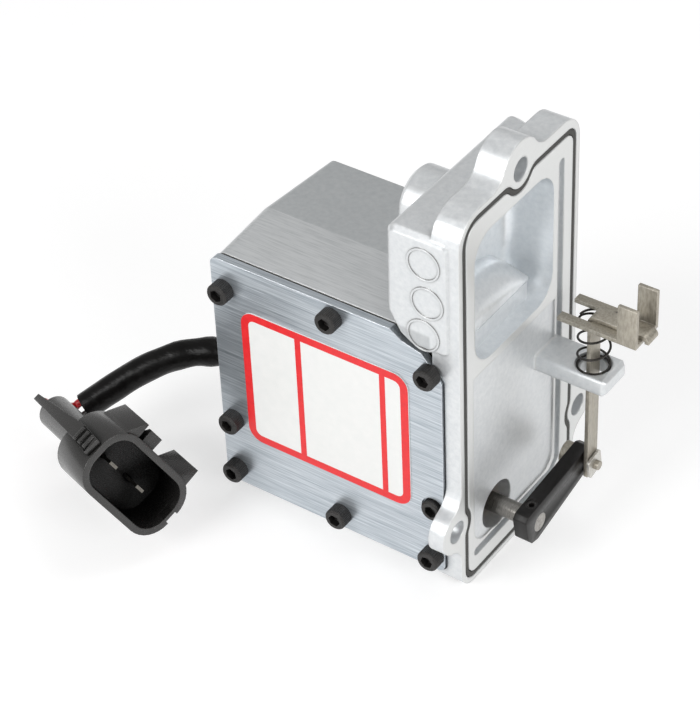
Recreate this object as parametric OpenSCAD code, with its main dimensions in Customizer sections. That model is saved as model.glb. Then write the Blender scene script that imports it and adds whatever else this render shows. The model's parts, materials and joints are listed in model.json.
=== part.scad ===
// Engine governor actuator: a rotary solenoid in a cast housing with a lever, link and fork
// on its flange. Millimetres. X = 0 is the mating face and +X leaves it, +Z is up,
// -Y is the label side, Z = 0 is the flange's lower edge.

/* [Flange] */
// Width of the mating flange
flange_w = 51; // [46:0.5:56]
// Height of the mating flange
flange_h = 110; // [106:0.5:114]
// Thickness of the mating flange
flange_t = 7.5; // [6.5:0.1:9]
// Radius of the two upper corners
flange_top_r = 8; // [5:0.5:10]
// Radius of the two lower corners
flange_low_r = 5; // [3:0.5:8]
// Diameter of the three mounting holes
mount_hole_d = 6; // [5:0.1:6.6]
// Distance between the two side holes
side_hole_pitch = 55; // [54:0.5:58]
// Height of the two side holes
side_hole_z = 21.3; // [19:0.1:25]
// Radius of the lug round each side hole
side_lug_r = 6; // [5.5:0.1:7.5]
// Radius of the lug round the top hole
top_lug_r = 7.6; // [7:0.1:9]
// Extra height of the flange on the far side of the top lug
top_step = 1.6; // [1:0.1:2.2]
// Blend radius between lugs and plate
lug_blend = 6; // [3:0.5:8]
// Land between the flange's edge and the seal groove
groove_land = 1.4; // [1.2:0.1:1.8]
// Width of the seal groove
groove_w = 1.6; // [1.4:0.1:1.8]
// Depth of the seal groove
groove_depth = 1.5; // [1.2:0.1:2]
// How far the seal's top lies under the mating face
seal_sink = 0.1; // [0:0.05:0.3]

/* [Mating face] */
// Depth of the cast area inside the land
dish_depth = 0.4; // [0.2:0.1:0.6]
// Width of the drain channel
channel_w = 2.4; // [2:0.1:2.8]
// Depth of the drain channel
channel_depth = 1.5; // [1:0.1:2]
// Height of the drain channel's lower run
channel_z = 8.4; // [8:0.1:9]
// Place of the drain channel's upright run
channel_y = 17.8; // [17.4:0.1:18.2]
// Depth of the deep pocket
pocket_depth = 12.5; // [10:0.5:13]
// Label side of the pocket
pocket_front = 19.2; // [18:0.1:20]
// Far side of the pocket
pocket_back = 14.4; // [13.5:0.1:15]
// Lower edge of the pocket
pocket_low = 65.4; // [64:0.1:67]
// Upper edge of the pocket
pocket_high = 101.8; // [99:0.1:102.4]
// Height of the ridge that crowns the mound in the pocket
ridge_z = 70.4; // [69:0.1:71.5]
// Depth of that ridge under the mating face
ridge_depth = 4; // [3:0.1:5]

/* [Housing box] */
// Reach of the box behind the mating face
box_reach = 70; // [68:0.5:76]
// Gap between the box's right end and the mating face
box_right = 4.6; // [4:0.1:6]
// Height of the box's floor outside
box_low = 4.6; // [4:0.1:6]
// Height of the box's top outside
box_high = 74.5; // [74:0.5:76]
// Rear of the box behind the centre plane
box_rear = 23.2; // [23:0.1:25]
// Draft bulge at the parting line
parting_bulge = 1.1; // [0.5:0.1:1.5]
// Place of the parting line in front of the centre plane
parting_y = 4.3; // [3:0.1:6]
// Wall of the box
box_wall = 3.5; // [3:0.1:3.8]
// Thickness of the bearing wall behind the mating face
bearing_wall = 12; // [11:0.5:13]
// Rear reach of the thick neck behind the upper flange
neck_reach = 19.2; // [18.4:0.1:20.4]
// Drop of the thick neck's top under the flange's top
neck_drop = 6; // [5:0.1:7]
// How far the neck stands proud of the flange's side
neck_proud = 0.6; // [0.4:0.1:0.8]
// Diameter of the round boss behind the neck
port_boss_d = 17.2; // [15:0.2:19]
// Length of the round boss behind the neck
port_boss_l = 9; // [6:0.5:14]
// Height of the round boss
port_boss_z = 91.5; // [90:0.5:93]

/* [Cover] */
// Distance of the cover's front from the centre plane
cover_front = 26.3; // [26:0.1:27]
// Thickness of the cover plate
cover_t = 2.1; // [1.8:0.1:2.5]
// Thickness of the gasket behind it
gasket_t = 0.5; // [0.4:0.1:0.8]
// Clearance hole of the cover screws
cover_hole_d = 3.8; // [3.7:0.1:4.2]
// Shank diameter of the cover screws
screw_d = 3.4; // [3:0.1:3.5]
// Head diameter of the cover screws
screw_head_d = 5.74; // [5.4:0.02:6]
// Head height of the cover screws
screw_head_h = 3.5; // [3:0.1:4]
// Length of the cover screws under the head
screw_l = 9.5; // [8:0.5:10]
// Width of the bare label
label_w = 48; // [44:0.5:49]
// Height of the bare label
label_h = 40.5; // [38:0.5:41]
// Thickness of the bare label
label_t = 0.3; // [0.2:0.05:0.5]

/* [Shaft and lever] */
// Diameter of the output shaft
shaft_d = 4.8; // [4.4:0.1:5.2]
// Place of the shaft in front of the centre plane
shaft_front = 9.5; // [9:0.1:10]
// Height of the shaft
shaft_z = 16.4; // [16:0.1:17]
// Diameter of the opening round the shaft in the mating face
shaft_hole_d = 12.8; // [12:0.1:13]
// Outside diameter of the two bushings
bushing_d = 10; // [9.5:0.1:10.4]
// Length of the two bushings
bushing_l = 4.5; // [4:0.1:5]
// Distance from shaft to pivot pin
lever_len = 21.8; // [21.4:0.1:22]
// Angle of the lever above level at rest
lever_angle = 9.5; // [8:0.5:11]
// Thickness of the lever
lever_t = 3.75; // [3.4:0.05:4]
// Outer face of the lever in front of the mating face
lever_face = 11.9; // [11.7:0.1:12]
// Diameter of the set screw
set_screw_d = 3; // [2.6:0.1:3.2]
// Diameter of the pivot pin
pin_d = 2.4; // [2.2:0.1:2.6]
// Diameter of the pivot pin's head
pin_head_d = 6; // [5:0.2:6.4]
// Height of the pivot pin's head
pin_head_h = 2.4; // [1.6:0.1:2.6]
// Side of the square retaining clip
clip_side = 5.6; // [5:0.1:6]

/* [Link] */
// Width of the link strip
strip_w = 4.5; // [4.2:0.1:4.6]
// Thickness of the link's sheet
sheet_t = 1.1; // [0.9:0.05:1.1]
// Gap between lever and strip
strip_gap = 0.5; // [0.4:0.05:0.6]
// Height of the fork's floor
fork_z = 64.9; // [64:0.1:66]
// Width across the fork
fork_w = 10.4; // [10:0.1:11]
// Gap between the fork's prongs
fork_gap = 5.4; // [5.2:0.1:5.8]
// Place of the prongs' tips in front of the mating face
fork_tip = 5.8; // [5:0.1:7]
// Place of the fork's outer end in front of the mating face
fork_end = 27; // [26:0.1:28]
// Length of the fork's upright walls
fork_wall_l = 5.2; // [4.5:0.1:6]
// Height of the fork's upright walls
fork_wall_h = 11; // [9:0.1:12]
// Reach of the spring tab in front of the mating face
tab_reach = 19; // [18.6:0.1:20]
// Width of the spring tab
tab_w = 10.4; // [10.2:0.1:11]
// Height of the spring tab's top
tab_top = 51.2; // [50.6:0.1:52]
// Thickness of the spring tab
tab_t = 4.7; // [4.2:0.1:5]
// Diameter of the hole the link passes through
tab_hole_d = 6.6; // [6.4:0.1:7]
// Diameter of the spring's seat
seat_d = 9; // [8.9:0.1:9.2]
// Depth of the spring's seat
seat_depth = 1.1; // [0.8:0.1:1.4]
// Outside diameter of the link spring
link_spring_d = 8.4; // [8:0.1:8.5]
// Wire of the link spring
link_wire = 0.6; // [0.5:0.05:0.7]

/* [Solenoid] */
// Length of the core stack along the shaft
core_l = 26; // [24:0.5:27]
// Left end of the core stack behind the mating face
core_left = 50; // [49.5:0.1:50.4]
// Thickness of the core's yoke
yoke_t = 6; // [5:0.1:6.4]
// Rear face of the yoke behind the centre plane
yoke_rear = 12; // [11.8:0.1:12.4]
// Radius from the shaft to the armature's end
arm_reach = 44; // [42:0.5:46]
// Thickness of the armature's arm
arm_t = 6; // [5:0.2:6.4]
// Diameter of the armature's hub
hub_d = 12; // [11:0.2:12.4]
// Angle of the armature in front of upright at rest
rest_angle = 14; // [13.5:0.5:14.5]
// Travel of the shaft
travel = 25; // [22:0.5:25]
// Air gap left between armature and poles at full travel
pole_gap = 0.8; // [0.6:0.1:1.2]
// Wall of the coil's bobbin
bobbin_wall = 1; // [0.8:0.1:1.2]
// Depth of the winding on the bobbin
winding_t = 3.6; // [3:0.1:3.8]
// Mean radius of the return spring
return_r = 5.2; // [4.8:0.1:5.6]
// Wire of the return spring
return_wire = 1; // [0.8:0.05:1.1]
// Diameter of the rest stop
stop_d = 4; // [3:0.2:4.4]

/* [Cable] */
// Diameter of the cable sleeve
sleeve_d = 7.4; // [7:0.1:7.6]
// Diameter of each lead
lead_d = 2.2; // [1.8:0.1:2.4]
// Diameter of the gland's barrel in the wall
gland_d = 9; // [8.6:0.1:9.4]
// Diameter of the gland's collar
gland_collar_d = 12; // [11:0.2:13]

/* [Connector] */
// Long side of the shroud outside
shroud_w = 31.8; // [30:0.2:34]
// Short side of the shroud outside
shroud_h = 18; // [17:0.1:19]
// Corner radius of the shroud outside
shroud_r = 7.3; // [6.5:0.1:8]
// Depth of the shroud
shroud_l = 13.5; // [13:0.5:15]
// Wall of the shroud
shroud_wall = 1.8; // [1.5:0.1:2]
// Depth of the mouth
mouth_depth = 11; // [10:0.5:12]
// Distance between the two ways
way_pitch = 11; // [10.4:0.1:11.4]
// Diameter of each rear tower
tower_d = 8.6; // [8.2:0.1:9.2]
// Distance from mouth to the rear of the towers
connector_l = 36.4; // [35:0.2:38]
// Width of a blade
blade_w = 2.8; // [2.4:0.1:3.2]
// Thickness of a blade
blade_t = 0.8; // [0.6:0.05:1]
// Distance from mouth to the blades' tips
blade_tip = 4.5; // [3:0.5:6]
// Length of the two side fins
fin_l = 11.8; // [10:0.2:12.4]
// Height of the two side fins
fin_h = 3.9; // [3:0.1:4.4]

/* [Fits] */
// Gap between fixed pieces that don't touch
part_gap = 0.3; // [0.25:0.05:0.4]
// Radial play of turning fits
run_fit = 0.03; // [0.02:0.01:0.06]
// Radial play of pressed and glued fits
press_fit = 0.01; // [0.01:0.005:0.02]

/* [Hidden] */
// Facets of round pieces and of small round pieces
fine = 64;
small = 32;
// Places that follow from the sizes above
shaft_y = -shaft_front;
neck_high = flange_h - neck_drop;
neck_front = -flange_w / 2 - neck_proud;
housing_front = -cover_front + cover_t + gasket_t;
cover_back = -cover_front + cover_t;
pin_y = shaft_y + lever_len * cos(lever_angle);
pin_z = shaft_z + lever_len * sin(lever_angle);
strip_x0 = lever_face + strip_gap;
strip_x1 = strip_x0 + sheet_t;
strip_x = (strip_x0 + strip_x1) / 2;
clip_x = strip_x1 + 0.2;
tab_y = pin_y + 0.2;
tongue_z = fork_z + sheet_t + 0.05;
cav_left = -box_reach + box_wall;
cav_low = box_low + box_wall;
cav_high = box_high - box_wall;
cav_rear = box_rear - box_wall;
end_boss_x = cav_left + bushing_l;
core_x = -core_left;
core_mid = core_x + core_l / 2;
yoke_front = yoke_rear - yoke_t;
low_limb = [21, 30];
top_limb = [50, 59];
coil_z = [31, 49];
end_angle = travel - rest_angle;
bobbin_x = core_l / 2 + part_gap + bobbin_wall;
bobbin_y = yoke_t / 2 + part_gap + bobbin_wall;
yoke_mid = yoke_rear - yoke_t / 2;
// Cover screws as pairs of X and Z, the last one sits in a counterbore
screw_left = -box_reach + 3.7;
screw_mid = -(box_reach + box_right) / 2 + 2.6;
screw_right = -box_right - 3;
screw_at = [[screw_left, 66], [screw_mid, 70.9], [screw_right, 66], [screw_left, 25.2],
    [screw_left, 9.2], [screw_mid, 9.2], [screw_right, 9.2], [screw_right, 24]];
sunk_screw = 7;
// Label's middle on the cover
label_x = -37.75;
label_z = 41.65;
// Return stop: place beside the armature at rest
stop_r = 20;
stop_off = arm_t / 2 + stop_d / 2 + part_gap;
stop_y = shaft_y - stop_r * sin(rest_angle) - stop_off * cos(rest_angle);
stop_z = shaft_z + stop_r * cos(rest_angle) - stop_off * sin(rest_angle);
// Cable gland and the route of the sleeve
gland_y = -8;
gland_z = 26;
gland_out = -box_reach - 3.4;
gland_tip = -box_reach - 7.5;
sleeve_steps = [[0, -8, 26], [2, -8, 26], [4, -8, 26], [7.5, -8.7, 26], [11.5, -10.6, 25.6],
    [15.3, -13, 24.8], [18.9, -15.9, 23.4], [22.3, -19, 21.6], [25.5, -22.2, 19.4],
    [28.5, -25.5, 16.9], [31.3, -28.8, 14.5], [33.7, -32, 12.4]];
sleeve_route = [for (q = sleeve_steps) [gland_tip - q[0], q[1], q[2]]];
// Connector's place and turn
mouth_at = [gland_tip + 4.3, -57.6, 23.55];
mouth_turn = [71.9, 59.03, 51.98];

// Helpers

// Plan in Y and Z drawn along +X
module along_x(x0, len) {
    translate([x0, 0, 0])
        rotate([90, 0, 90])
            linear_extrude(height = len)
                children();
}

// Plan in X and Z drawn along +Y
module along_y(y0, len) {
    translate([0, y0 + len, 0])
        rotate([90, 0, 0])
            linear_extrude(height = len)
                children();
}

// Round bar along +X
module bar_x(x0, len, d, y, z, n = fine) {
    translate([x0, y, z])
        rotate([0, 90, 0])
            cylinder(h = len, d = d, $fn = n);
}

// Round bar along +Y
module bar_y(y0, len, d, x, z, n = small) {
    translate([x, y0, z])
        rotate([-90, 0, 0])
            cylinder(h = len, d = d, $fn = n);
}

// Rectangle between two corners with round corners
module soft_rect(a, b, r) {
    translate([a[0] + r, a[1] + r])
        offset(r = r, $fn = small)
            square([b[0] - a[0] - 2 * r, b[1] - a[1] - 2 * r]);
}

// Points on a smooth curve through a route
function curve_point(p, i, t) =
    let (a = p[max(i - 1, 0)], b = p[i], c = p[i + 1], d = p[min(i + 2, len(p) - 1)])
    0.5 * ((2 * b) + (c - a) * t + (2 * a - 5 * b + 4 * c - d) * t * t
        + (3 * b - a - 3 * c + d) * t * t * t);
function smooth_route(p, n) = concat(
    [for (i = [0 : len(p) - 2]) for (j = [0 : n - 1]) curve_point(p, i, j / n)], [p[len(p) - 1]]);
function unit(v) = v / norm(v);
function heading(p, i) = unit(p[min(i + 1, len(p) - 1)] - p[max(i - 1, 0)]);
function ring_at(c, h, r, n) =
    let (u = unit(cross(h, [0, 0, 1])), w = cross(u, h))
    [for (k = [0 : n - 1]) c + r * (cos(360 * k / n) * u + sin(360 * k / n) * w)];
// Faces of a closed tube made of m rings of n points
function tube_faces(m, n) = concat(
    [[for (k = [0 : n - 1]) k]],
    [for (i = [0 : m - 2]) for (k = [0 : n - 1])
        [i * n + k, (i + 1) * n + k, (i + 1) * n + (k + 1) % n, i * n + (k + 1) % n]],
    [[for (k = [0 : n - 1]) m * n - 1 - k]]);

// Round cord along a route
module cord(route, d, sides, steps) {
    path = smooth_route(route, steps);
    rings = [for (i = [0 : len(path) - 1]) ring_at(path[i], heading(path, i), d / 2, sides)];
    polyhedron(points = [for (q = rings) each q], faces = tube_faces(len(rings), sides), convexity = 6);
}

// Coil round +Z: heights is a function list of [turn, height]
module coil(r, wire, turns, heights, per_turn, sides) {
    m = ceil(turns * per_turn);
    rings = [for (i = [0 : m])
        let (t = turns * i / m, z = lookup(t, heights), a = 360 * t)
        [for (k = [0 : sides - 1])
            let (b = 360 * k / sides, q = r + wire / 2 * cos(b))
            [q * cos(a), q * sin(a), z + wire / 2 * sin(b)]]];
    polyhedron(points = [for (q = rings) each q], faces = tube_faces(m + 1, sides), convexity = 8);
}

// Flange

module plate_plan() {
    intersection() {
        soft_rect([-flange_w / 2, 0], [flange_w / 2, flange_h + 20], flange_low_r);
        union() {
            soft_rect([-flange_w / 2, -20], [flange_w / 2, flange_h], flange_top_r);
            soft_rect([0, -20], [flange_w / 2, flange_h + top_step], flange_top_r - 1);
        }
    }
}

module flange_plan() {
    offset(r = -lug_blend, $fn = fine)
        offset(r = lug_blend, $fn = fine)
            union() {
                plate_plan();
                translate([0, flange_h])
                    circle(r = top_lug_r, $fn = fine);
                for (s = [-1, 1])
                    translate([s * side_hole_pitch / 2, side_hole_z])
                        circle(r = side_lug_r, $fn = fine);
            }
}

// Area inside the mounting holes that the seal runs round
module seal_area() {
    difference() {
        plate_plan();
        translate([0, flange_h])
            circle(r = mount_hole_d / 2 + 0.3, $fn = small);
        translate([0, flange_h])
            square([flange_w, 10]);
        for (s = [-1, 1])
            translate([s * side_hole_pitch / 2, side_hole_z])
                circle(r = mount_hole_d / 2 + 0.3, $fn = small);
    }
}

// Band inside the seal area between two insets
module seal_band(inset, width) {
    difference() {
        offset(r = 4, $fn = small)
            offset(r = -4 - inset, $fn = small)
                seal_area();
        offset(r = 3, $fn = small)
            offset(r = -3 - inset - width, $fn = small)
                seal_area();
    }
}

// Drain channel along the far side and the lower side
module channel_plan() {
    offset(r = channel_w / 2, $fn = small)
        polygon([[-19, channel_z], [channel_y - 3, channel_z], [channel_y, channel_z + 3],
            [channel_y, 101], [channel_y - 0.1, 101], [channel_y - 0.1, channel_z + 3.1],
            [channel_y - 3.1, channel_z + 0.1], [-19, channel_z + 0.1]]);
}

module dish_plan() {
    difference() {
        soft_rect([-20, channel_z + 2.2], [channel_y - 2.2, pocket_low + 12], 5);
        translate([-30, pocket_low - 2.4])
            square([60, 60]);
    }
}

// Pocket with drafted walls
module pocket() {
    hull() {
        along_x(-0.2, 0.4)
            soft_rect([-pocket_front, pocket_low], [pocket_back, pocket_high], 7);
        along_x(-pocket_depth + 3, 0.2)
            soft_rect([-pocket_front + 2.2, pocket_low + 0.5], [pocket_back - 0.5, pocket_high - 1.2], 6.5);
        along_x(-pocket_depth, 0.2)
            soft_rect([-pocket_front + 6, pocket_low + 2.5], [pocket_back - 2.5, pocket_high - 4], 5);
    }
}

// Mound with a straight ridge in the pocket
mound_r = 11;
mound_h = pocket_depth - ridge_depth + 1;
mound_plan = concat([[0, 0]], [for (i = [0 : 8])
    let (q = sin(90 * i / 8)) [mound_r * q, mound_h * pow(1 - pow(q, 3), 1 / 3)]]);
module mound() {
    translate([-pocket_depth - 1, 0, ridge_z])
        rotate([0, 90, 0])
            rotate([0, 0, 90])
                rotate_extrude(angle = 90, $fn = fine)
                    polygon(mound_plan);
    translate([-pocket_depth - 1, 0.01, ridge_z])
        rotate([90, 0, 0])
            linear_extrude(height = pocket_front)
                polygon([for (q = mound_plan) [q[1], q[0]]]);
    hull() {
        mound_foot(-pocket_front, ridge_depth + 0.3, 1.4, 4.2);
        mound_foot(4.5, ridge_depth + 0.3, 1.4, 4.2);
        mound_foot(10.6, ridge_depth + 5, 0.4, 1.5);
    }
}

// Slice of the slope under the ridge: depth of its crest, width of its band, drop of its foot
module mound_foot(y, crest, band, drop) {
    along_y(y, 0.05)
        polygon([[-pocket_depth - 1, ridge_z], [-crest, ridge_z], [-crest - 1.1, ridge_z - band],
            [-pocket_depth - 1, ridge_z - drop]]);
}

// Housing

module box_slice(y, grow) {
    along_y(y, 0.05)
        offset(delta = grow)
            soft_rect([-box_reach, box_low], [-box_right, box_high], 3);
}

module box_body() {
    hull() {
        box_slice(housing_front, 0);
        box_slice(-parting_y, parting_bulge);
        box_slice(box_rear - 1.6, -0.6);
        box_slice(box_rear - 0.05, -2);
    }
}

module neck_plan(inset) {
    offset(r = 2.5 - inset, $fn = small)
        offset(delta = -2.5)
            polygon([[-2, neck_high], [-neck_reach, neck_high], [-neck_reach - 0.6, 80],
                [-16.5, 74], [-13, 71.6], [-2, 71.6]]);
}

// Fillet between the neck's lower side and the flange
module neck_foot() {
    offset(r = -2, $fn = small)
        offset(r = 2, $fn = small)
            union() {
                translate([-14, 72.6])
                    square([12, 4]);
                translate([-flange_t, 50])
                    square([flange_t - 2, 26]);
            }
}

module neck() {
    hull() {
        along_y(neck_front, 0.05)
            neck_plan(1.2);
        along_y(neck_front + 1.4, 0.05)
            neck_plan(0);
        along_y(flange_w / 2 - 4.4, 0.05)
            neck_plan(0);
        along_y(flange_w / 2 - 2, 0.05)
            neck_plan(2);
    }
    along_y(-flange_w / 2 + 0.2, flange_w - 5)
        neck_foot();
}

module port_boss() {
    bar_x(-neck_reach - port_boss_l + 1, port_boss_l + 3, port_boss_d, 0, port_boss_z);
    translate([-neck_reach - port_boss_l, 0, port_boss_z])
        rotate([0, 90, 0])
            cylinder(h = 1, d1 = port_boss_d - 2, d2 = port_boss_d, $fn = fine);
}

module tab_slice(x, inset, r) {
    along_x(x, 0.05)
        soft_rect([tab_y - tab_w / 2 + inset, tab_top - tab_t + inset],
            [tab_y + tab_w / 2 - inset, tab_top - inset], r);
}

module spring_tab() {
    hull() {
        tab_slice(-dish_depth - 1, 0, 0.9);
        tab_slice(tab_reach - 1, 0, 0.9);
        tab_slice(tab_reach - 0.05, 0.8, 0.5);
    }
}

module cavity_plan() {
    difference() {
        soft_rect([cav_left, cav_low], [-bearing_wall, cav_high], 3);
        polygon([[-16.5, cav_high + 1], [-16.5, 61], [-bearing_wall + 1, 57], [0, 57], [0, cav_high + 1]]);
        polygon([[-24, cav_high + 1], [-15, 62], [-15, cav_high + 1]]);
    }
}

// Raised cast rings on the neck's label side
module cast_ring(x, z) {
    translate([x, neck_front + 0.4, z])
        rotate([90, 0, 0])
            rotate_extrude($fn = small)
                translate([3.9, 0])
                    square([0.5, 0.65]);
}

// Bosses of the cover screws that stand in the cavity
module screw_bosses() {
    for (p = [screw_at[0], screw_at[1], screw_at[3], screw_at[4], screw_at[5]])
        bar_y(housing_front, 7.6, 9, p[0], p[1]);
}

module core_pads() {
    for (x = [core_x - 2.6, core_x + core_l + 2.6])
        for (z = [low_limb, top_limb])
            bar_y(yoke_rear, cav_rear - yoke_rear + 1, 8, x, (z[0] + z[1]) / 2);
}

module housing() {
    color([0.76, 0.77, 0.78])
        difference() {
            union() {
                difference() {
                    union() {
                        box_body();
                        along_x(-flange_t, flange_t)
                            flange_plan();
                        neck();
                        port_boss();
                        cast_ring(-9, 96.6);
                        cast_ring(-8.2, 86);
                        cast_ring(-9.4, 76.4);
                    }
                    along_y(housing_front - 1, cav_rear - housing_front + 1)
                        cavity_plan();
                    pocket();
                    along_x(-dish_depth, dish_depth + 1)
                        dish_plan();
                    along_x(-channel_depth, channel_depth + 1)
                        channel_plan();
                }
                intersection() {
                    mound();
                    pocket();
                }
                spring_tab();
                core_pads();
                bar_x(cav_left - 1, bushing_l + 1, bushing_d + 5, shaft_y, shaft_z);
                bar_x(cav_left - 1, 5, stop_d + 5, stop_y, stop_z);
                intersection() {
                    box_body();
                    screw_bosses();
                }
            }
            along_y(-60, 60 + housing_front)
                cover_plan(part_gap);
            along_x(-groove_depth, groove_depth + 1)
                seal_band(groove_land, groove_w);
            bar_x(-flange_t - 2, flange_t + 4, mount_hole_d, 0, flange_h);
            for (s = [-1, 1])
                bar_x(-flange_t - 2, flange_t + 4, mount_hole_d, s * side_hole_pitch / 2, side_hole_z);
            bar_x(-bearing_wall + bushing_l + 0.5, bearing_wall, shaft_hole_d, shaft_y, shaft_z);
            bar_x(-bearing_wall - 1, bearing_wall, bushing_d + 2 * press_fit, shaft_y, shaft_z);
            bar_x(cav_left, bushing_l + 1, bushing_d + 2 * press_fit, shaft_y, shaft_z);
            bar_x(cav_left - 2.5, 10, stop_d + 2 * press_fit, stop_y, stop_z);
            bar_x(-box_reach - 3, box_wall + 8, gland_d + 2 * press_fit, gland_y, gland_z);
            translate([strip_x, tab_y, tab_top - tab_t - 1])
                cylinder(h = tab_t + 2, d = tab_hole_d, $fn = fine);
            translate([strip_x, tab_y, tab_top - seat_depth])
                cylinder(h = seat_depth + 1, d = seat_d, $fn = fine);
            for (p = screw_at)
                bar_y(-cover_front - 1, screw_l + 2.4, screw_d + 2 * press_fit, p[0], p[1]);
            for (x = [core_x - 2.6, core_x + core_l + 2.6])
                for (z = [low_limb, top_limb])
                    bar_y(yoke_rear - 1, 8, 3 + 2 * press_fit, x, (z[0] + z[1]) / 2);
        }
}

// Cover

module cover_plan(grow) {
    offset(delta = grow)
        difference() {
            soft_rect([-box_reach, box_low], [-box_right, box_high], 2);
            offset(r = 1.5, $fn = small)
                polygon([[-neck_reach - 0.4, 90], [-neck_reach - 0.4, 77], [-14.6, 73.6],
                    [-9.2, 72.2], [-4.2, 66], [0, 60], [0, 90]]);
        }
}

module cover_plate() {
    color([0.72, 0.74, 0.76])
        difference() {
            along_y(-cover_front, cover_t)
                cover_plan(0);
            for (p = screw_at)
                bar_y(-cover_front - 1, cover_t + 2, cover_hole_d, p[0], p[1]);
            bar_y(-cover_front - 1, 1.9, screw_head_d + 0.8, screw_at[sunk_screw][0], screw_at[sunk_screw][1]);
        }
}

module cover_gasket() {
    color([0.2, 0.2, 0.2])
        difference() {
            along_y(cover_back, gasket_t)
                difference() {
                    cover_plan(-0.4);
                    offset(delta = -0.5)
                        cavity_plan();
                }
            for (p = screw_at)
                bar_y(cover_back - 1, gasket_t + 2, cover_hole_d, p[0], p[1]);
        }
}

module socket_screw(x, z, y_seat) {
    difference() {
        union() {
            bar_y(y_seat - screw_head_h + 0.4, screw_head_h - 0.4, screw_head_d, x, z);
            translate([x, y_seat - screw_head_h, z])
                rotate([-90, 0, 0])
                    cylinder(h = 0.4, d1 = screw_head_d - 0.8, d2 = screw_head_d, $fn = small);
            bar_y(y_seat - 1, screw_l + 1, screw_d, x, z);
        }
        translate([x, y_seat - screw_head_h - 1, z])
            rotate([-90, 0, 0])
                cylinder(h = 2.8, d = 3.2, $fn = 6);
    }
}

module cover_screws() {
    color([0.16, 0.16, 0.16])
        for (i = [0 : len(screw_at) - 1])
            socket_screw(screw_at[i][0], screw_at[i][1], -cover_front + (i == sunk_screw ? 0.9 : 0));
}

module nameplate() {
    color([0.95, 0.95, 0.95])
        along_y(-cover_front - label_t, label_t)
            soft_rect([label_x - label_w / 2, label_z - label_h / 2],
                [label_x + label_w / 2, label_z + label_h / 2], 4);
}

module face_seal() {
    color([0.3, 0.3, 0.29])
        along_x(-groove_depth, groove_depth - seal_sink)
            seal_band(groove_land + 0.2, groove_w - 0.4);
}

// Shaft, bushings and lever

module output_shaft() {
    color([0.6, 0.6, 0.6])
        bar_x(cav_left + 0.4, lever_face - cav_left - 0.4, shaft_d, shaft_y, shaft_z);
}

module bushing(x0) {
    difference() {
        bar_x(x0, bushing_l, bushing_d, shaft_y, shaft_z);
        bar_x(x0 - 1, bushing_l + 2, shaft_d + 2 * run_fit, shaft_y, shaft_z);
    }
}

module flange_bushing() {
    color([0.72, 0.56, 0.3])
        bushing(-bearing_wall);
}

module end_bushing() {
    color([0.72, 0.56, 0.3])
        bushing(cav_left);
}

module lever_plan() {
    translate([shaft_y, shaft_z])
        rotate(lever_angle)
            offset(r = 0.6, $fn = small)
                offset(delta = -0.6)
                    polygon([[-5.6, 5.2], [-4.2, 6.2], [lever_len + 1.5, 3.8], [lever_len + 3.4, 2.2],
                        [lever_len + 3.4, -1.6], [lever_len + 1.6, -3.2], [2, -4.4], [-1.6, -4.6],
                        [-4.2, -3.6], [-5.6, -1.2]]);
}

module lever_arm() {
    color([0.13, 0.12, 0.11])
        difference() {
            along_x(lever_face - lever_t, lever_t)
                lever_plan();
            bar_x(lever_face - lever_t - 1, lever_t + 2, shaft_d + 2 * press_fit, shaft_y, shaft_z);
            bar_x(lever_face - lever_t - 1, lever_t + 2, pin_d + 2 * press_fit, pin_y, pin_z, small);
            set_screw_space(0.01);
        }
}

module set_screw_space(grow) {
    translate([lever_face - lever_t / 2, shaft_y, shaft_z])
        rotate([lever_angle, 0, 0])
            translate([0, 0, shaft_d / 2 - 0.4])
                cylinder(h = 8, d = set_screw_d + 2 * grow, $fn = small);
}

module lever_set_screw() {
    color([0.1, 0.1, 0.1])
        translate([lever_face - lever_t / 2, shaft_y, shaft_z])
            rotate([lever_angle, 0, 0])
                difference() {
                    translate([0, 0, shaft_d / 2 + 0.02])
                        cylinder(h = 3, d = set_screw_d, $fn = small);
                    translate([0, 0, shaft_d / 2 + 1.5])
                        cylinder(h = 3, d = 1.7, $fn = 6);
                }
}

module pivot_pin() {
    color([0.55, 0.54, 0.5])
        union() {
            bar_x(lever_face - lever_t - pin_head_h, pin_head_h, pin_head_d, pin_y, pin_z, small);
            bar_x(lever_face - lever_t - 0.5, clip_x + 2.4 - lever_face + lever_t, pin_d, pin_y, pin_z, small);
        }
}

module retaining_clip() {
    color([0.62, 0.61, 0.58])
        difference() {
            translate([clip_x, pin_y, pin_z])
                rotate([lever_angle, 0, 0])
                    rotate([0, 90, 0])
                        linear_extrude(height = 0.7)
                            offset(r = 0.7, $fn = small)
                                square([clip_side - 1.4, clip_side - 1.4], center = true);
            bar_x(clip_x - 1, 3, pin_d + 2 * press_fit, pin_y, pin_z, small);
        }
}

// Link

bend_r = 1.9;
lip_r = 1.7;
module strip_plan() {
    translate([strip_x0, pin_z - 3.2])
        square([sheet_t, tongue_z + sheet_t - bend_r - pin_z + 3.2]);
    translate([strip_x0 + bend_r, tongue_z + sheet_t - bend_r])
        intersection() {
            difference() {
                circle(r = bend_r, $fn = small);
                circle(r = bend_r - sheet_t, $fn = small);
            }
            translate([-bend_r, 0])
                square([bend_r, bend_r]);
        }
    translate([strip_x0 + bend_r, tongue_z])
        square([fork_end - strip_x0 - bend_r, sheet_t]);
    translate([fork_end, tongue_z + sheet_t - lip_r])
        intersection() {
            difference() {
                circle(r = lip_r, $fn = small);
                circle(r = lip_r - sheet_t, $fn = small);
            }
            translate([0, -0.3])
                square([lip_r, lip_r + 0.3]);
        }
}

module link_strip() {
    color([0.56, 0.54, 0.5])
        difference() {
            along_y(pin_y - strip_w / 2, strip_w)
                strip_plan();
            bar_x(strip_x0 - 1, sheet_t + 2, pin_d + 2 * run_fit, pin_y, pin_z, small);
        }
}

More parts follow.
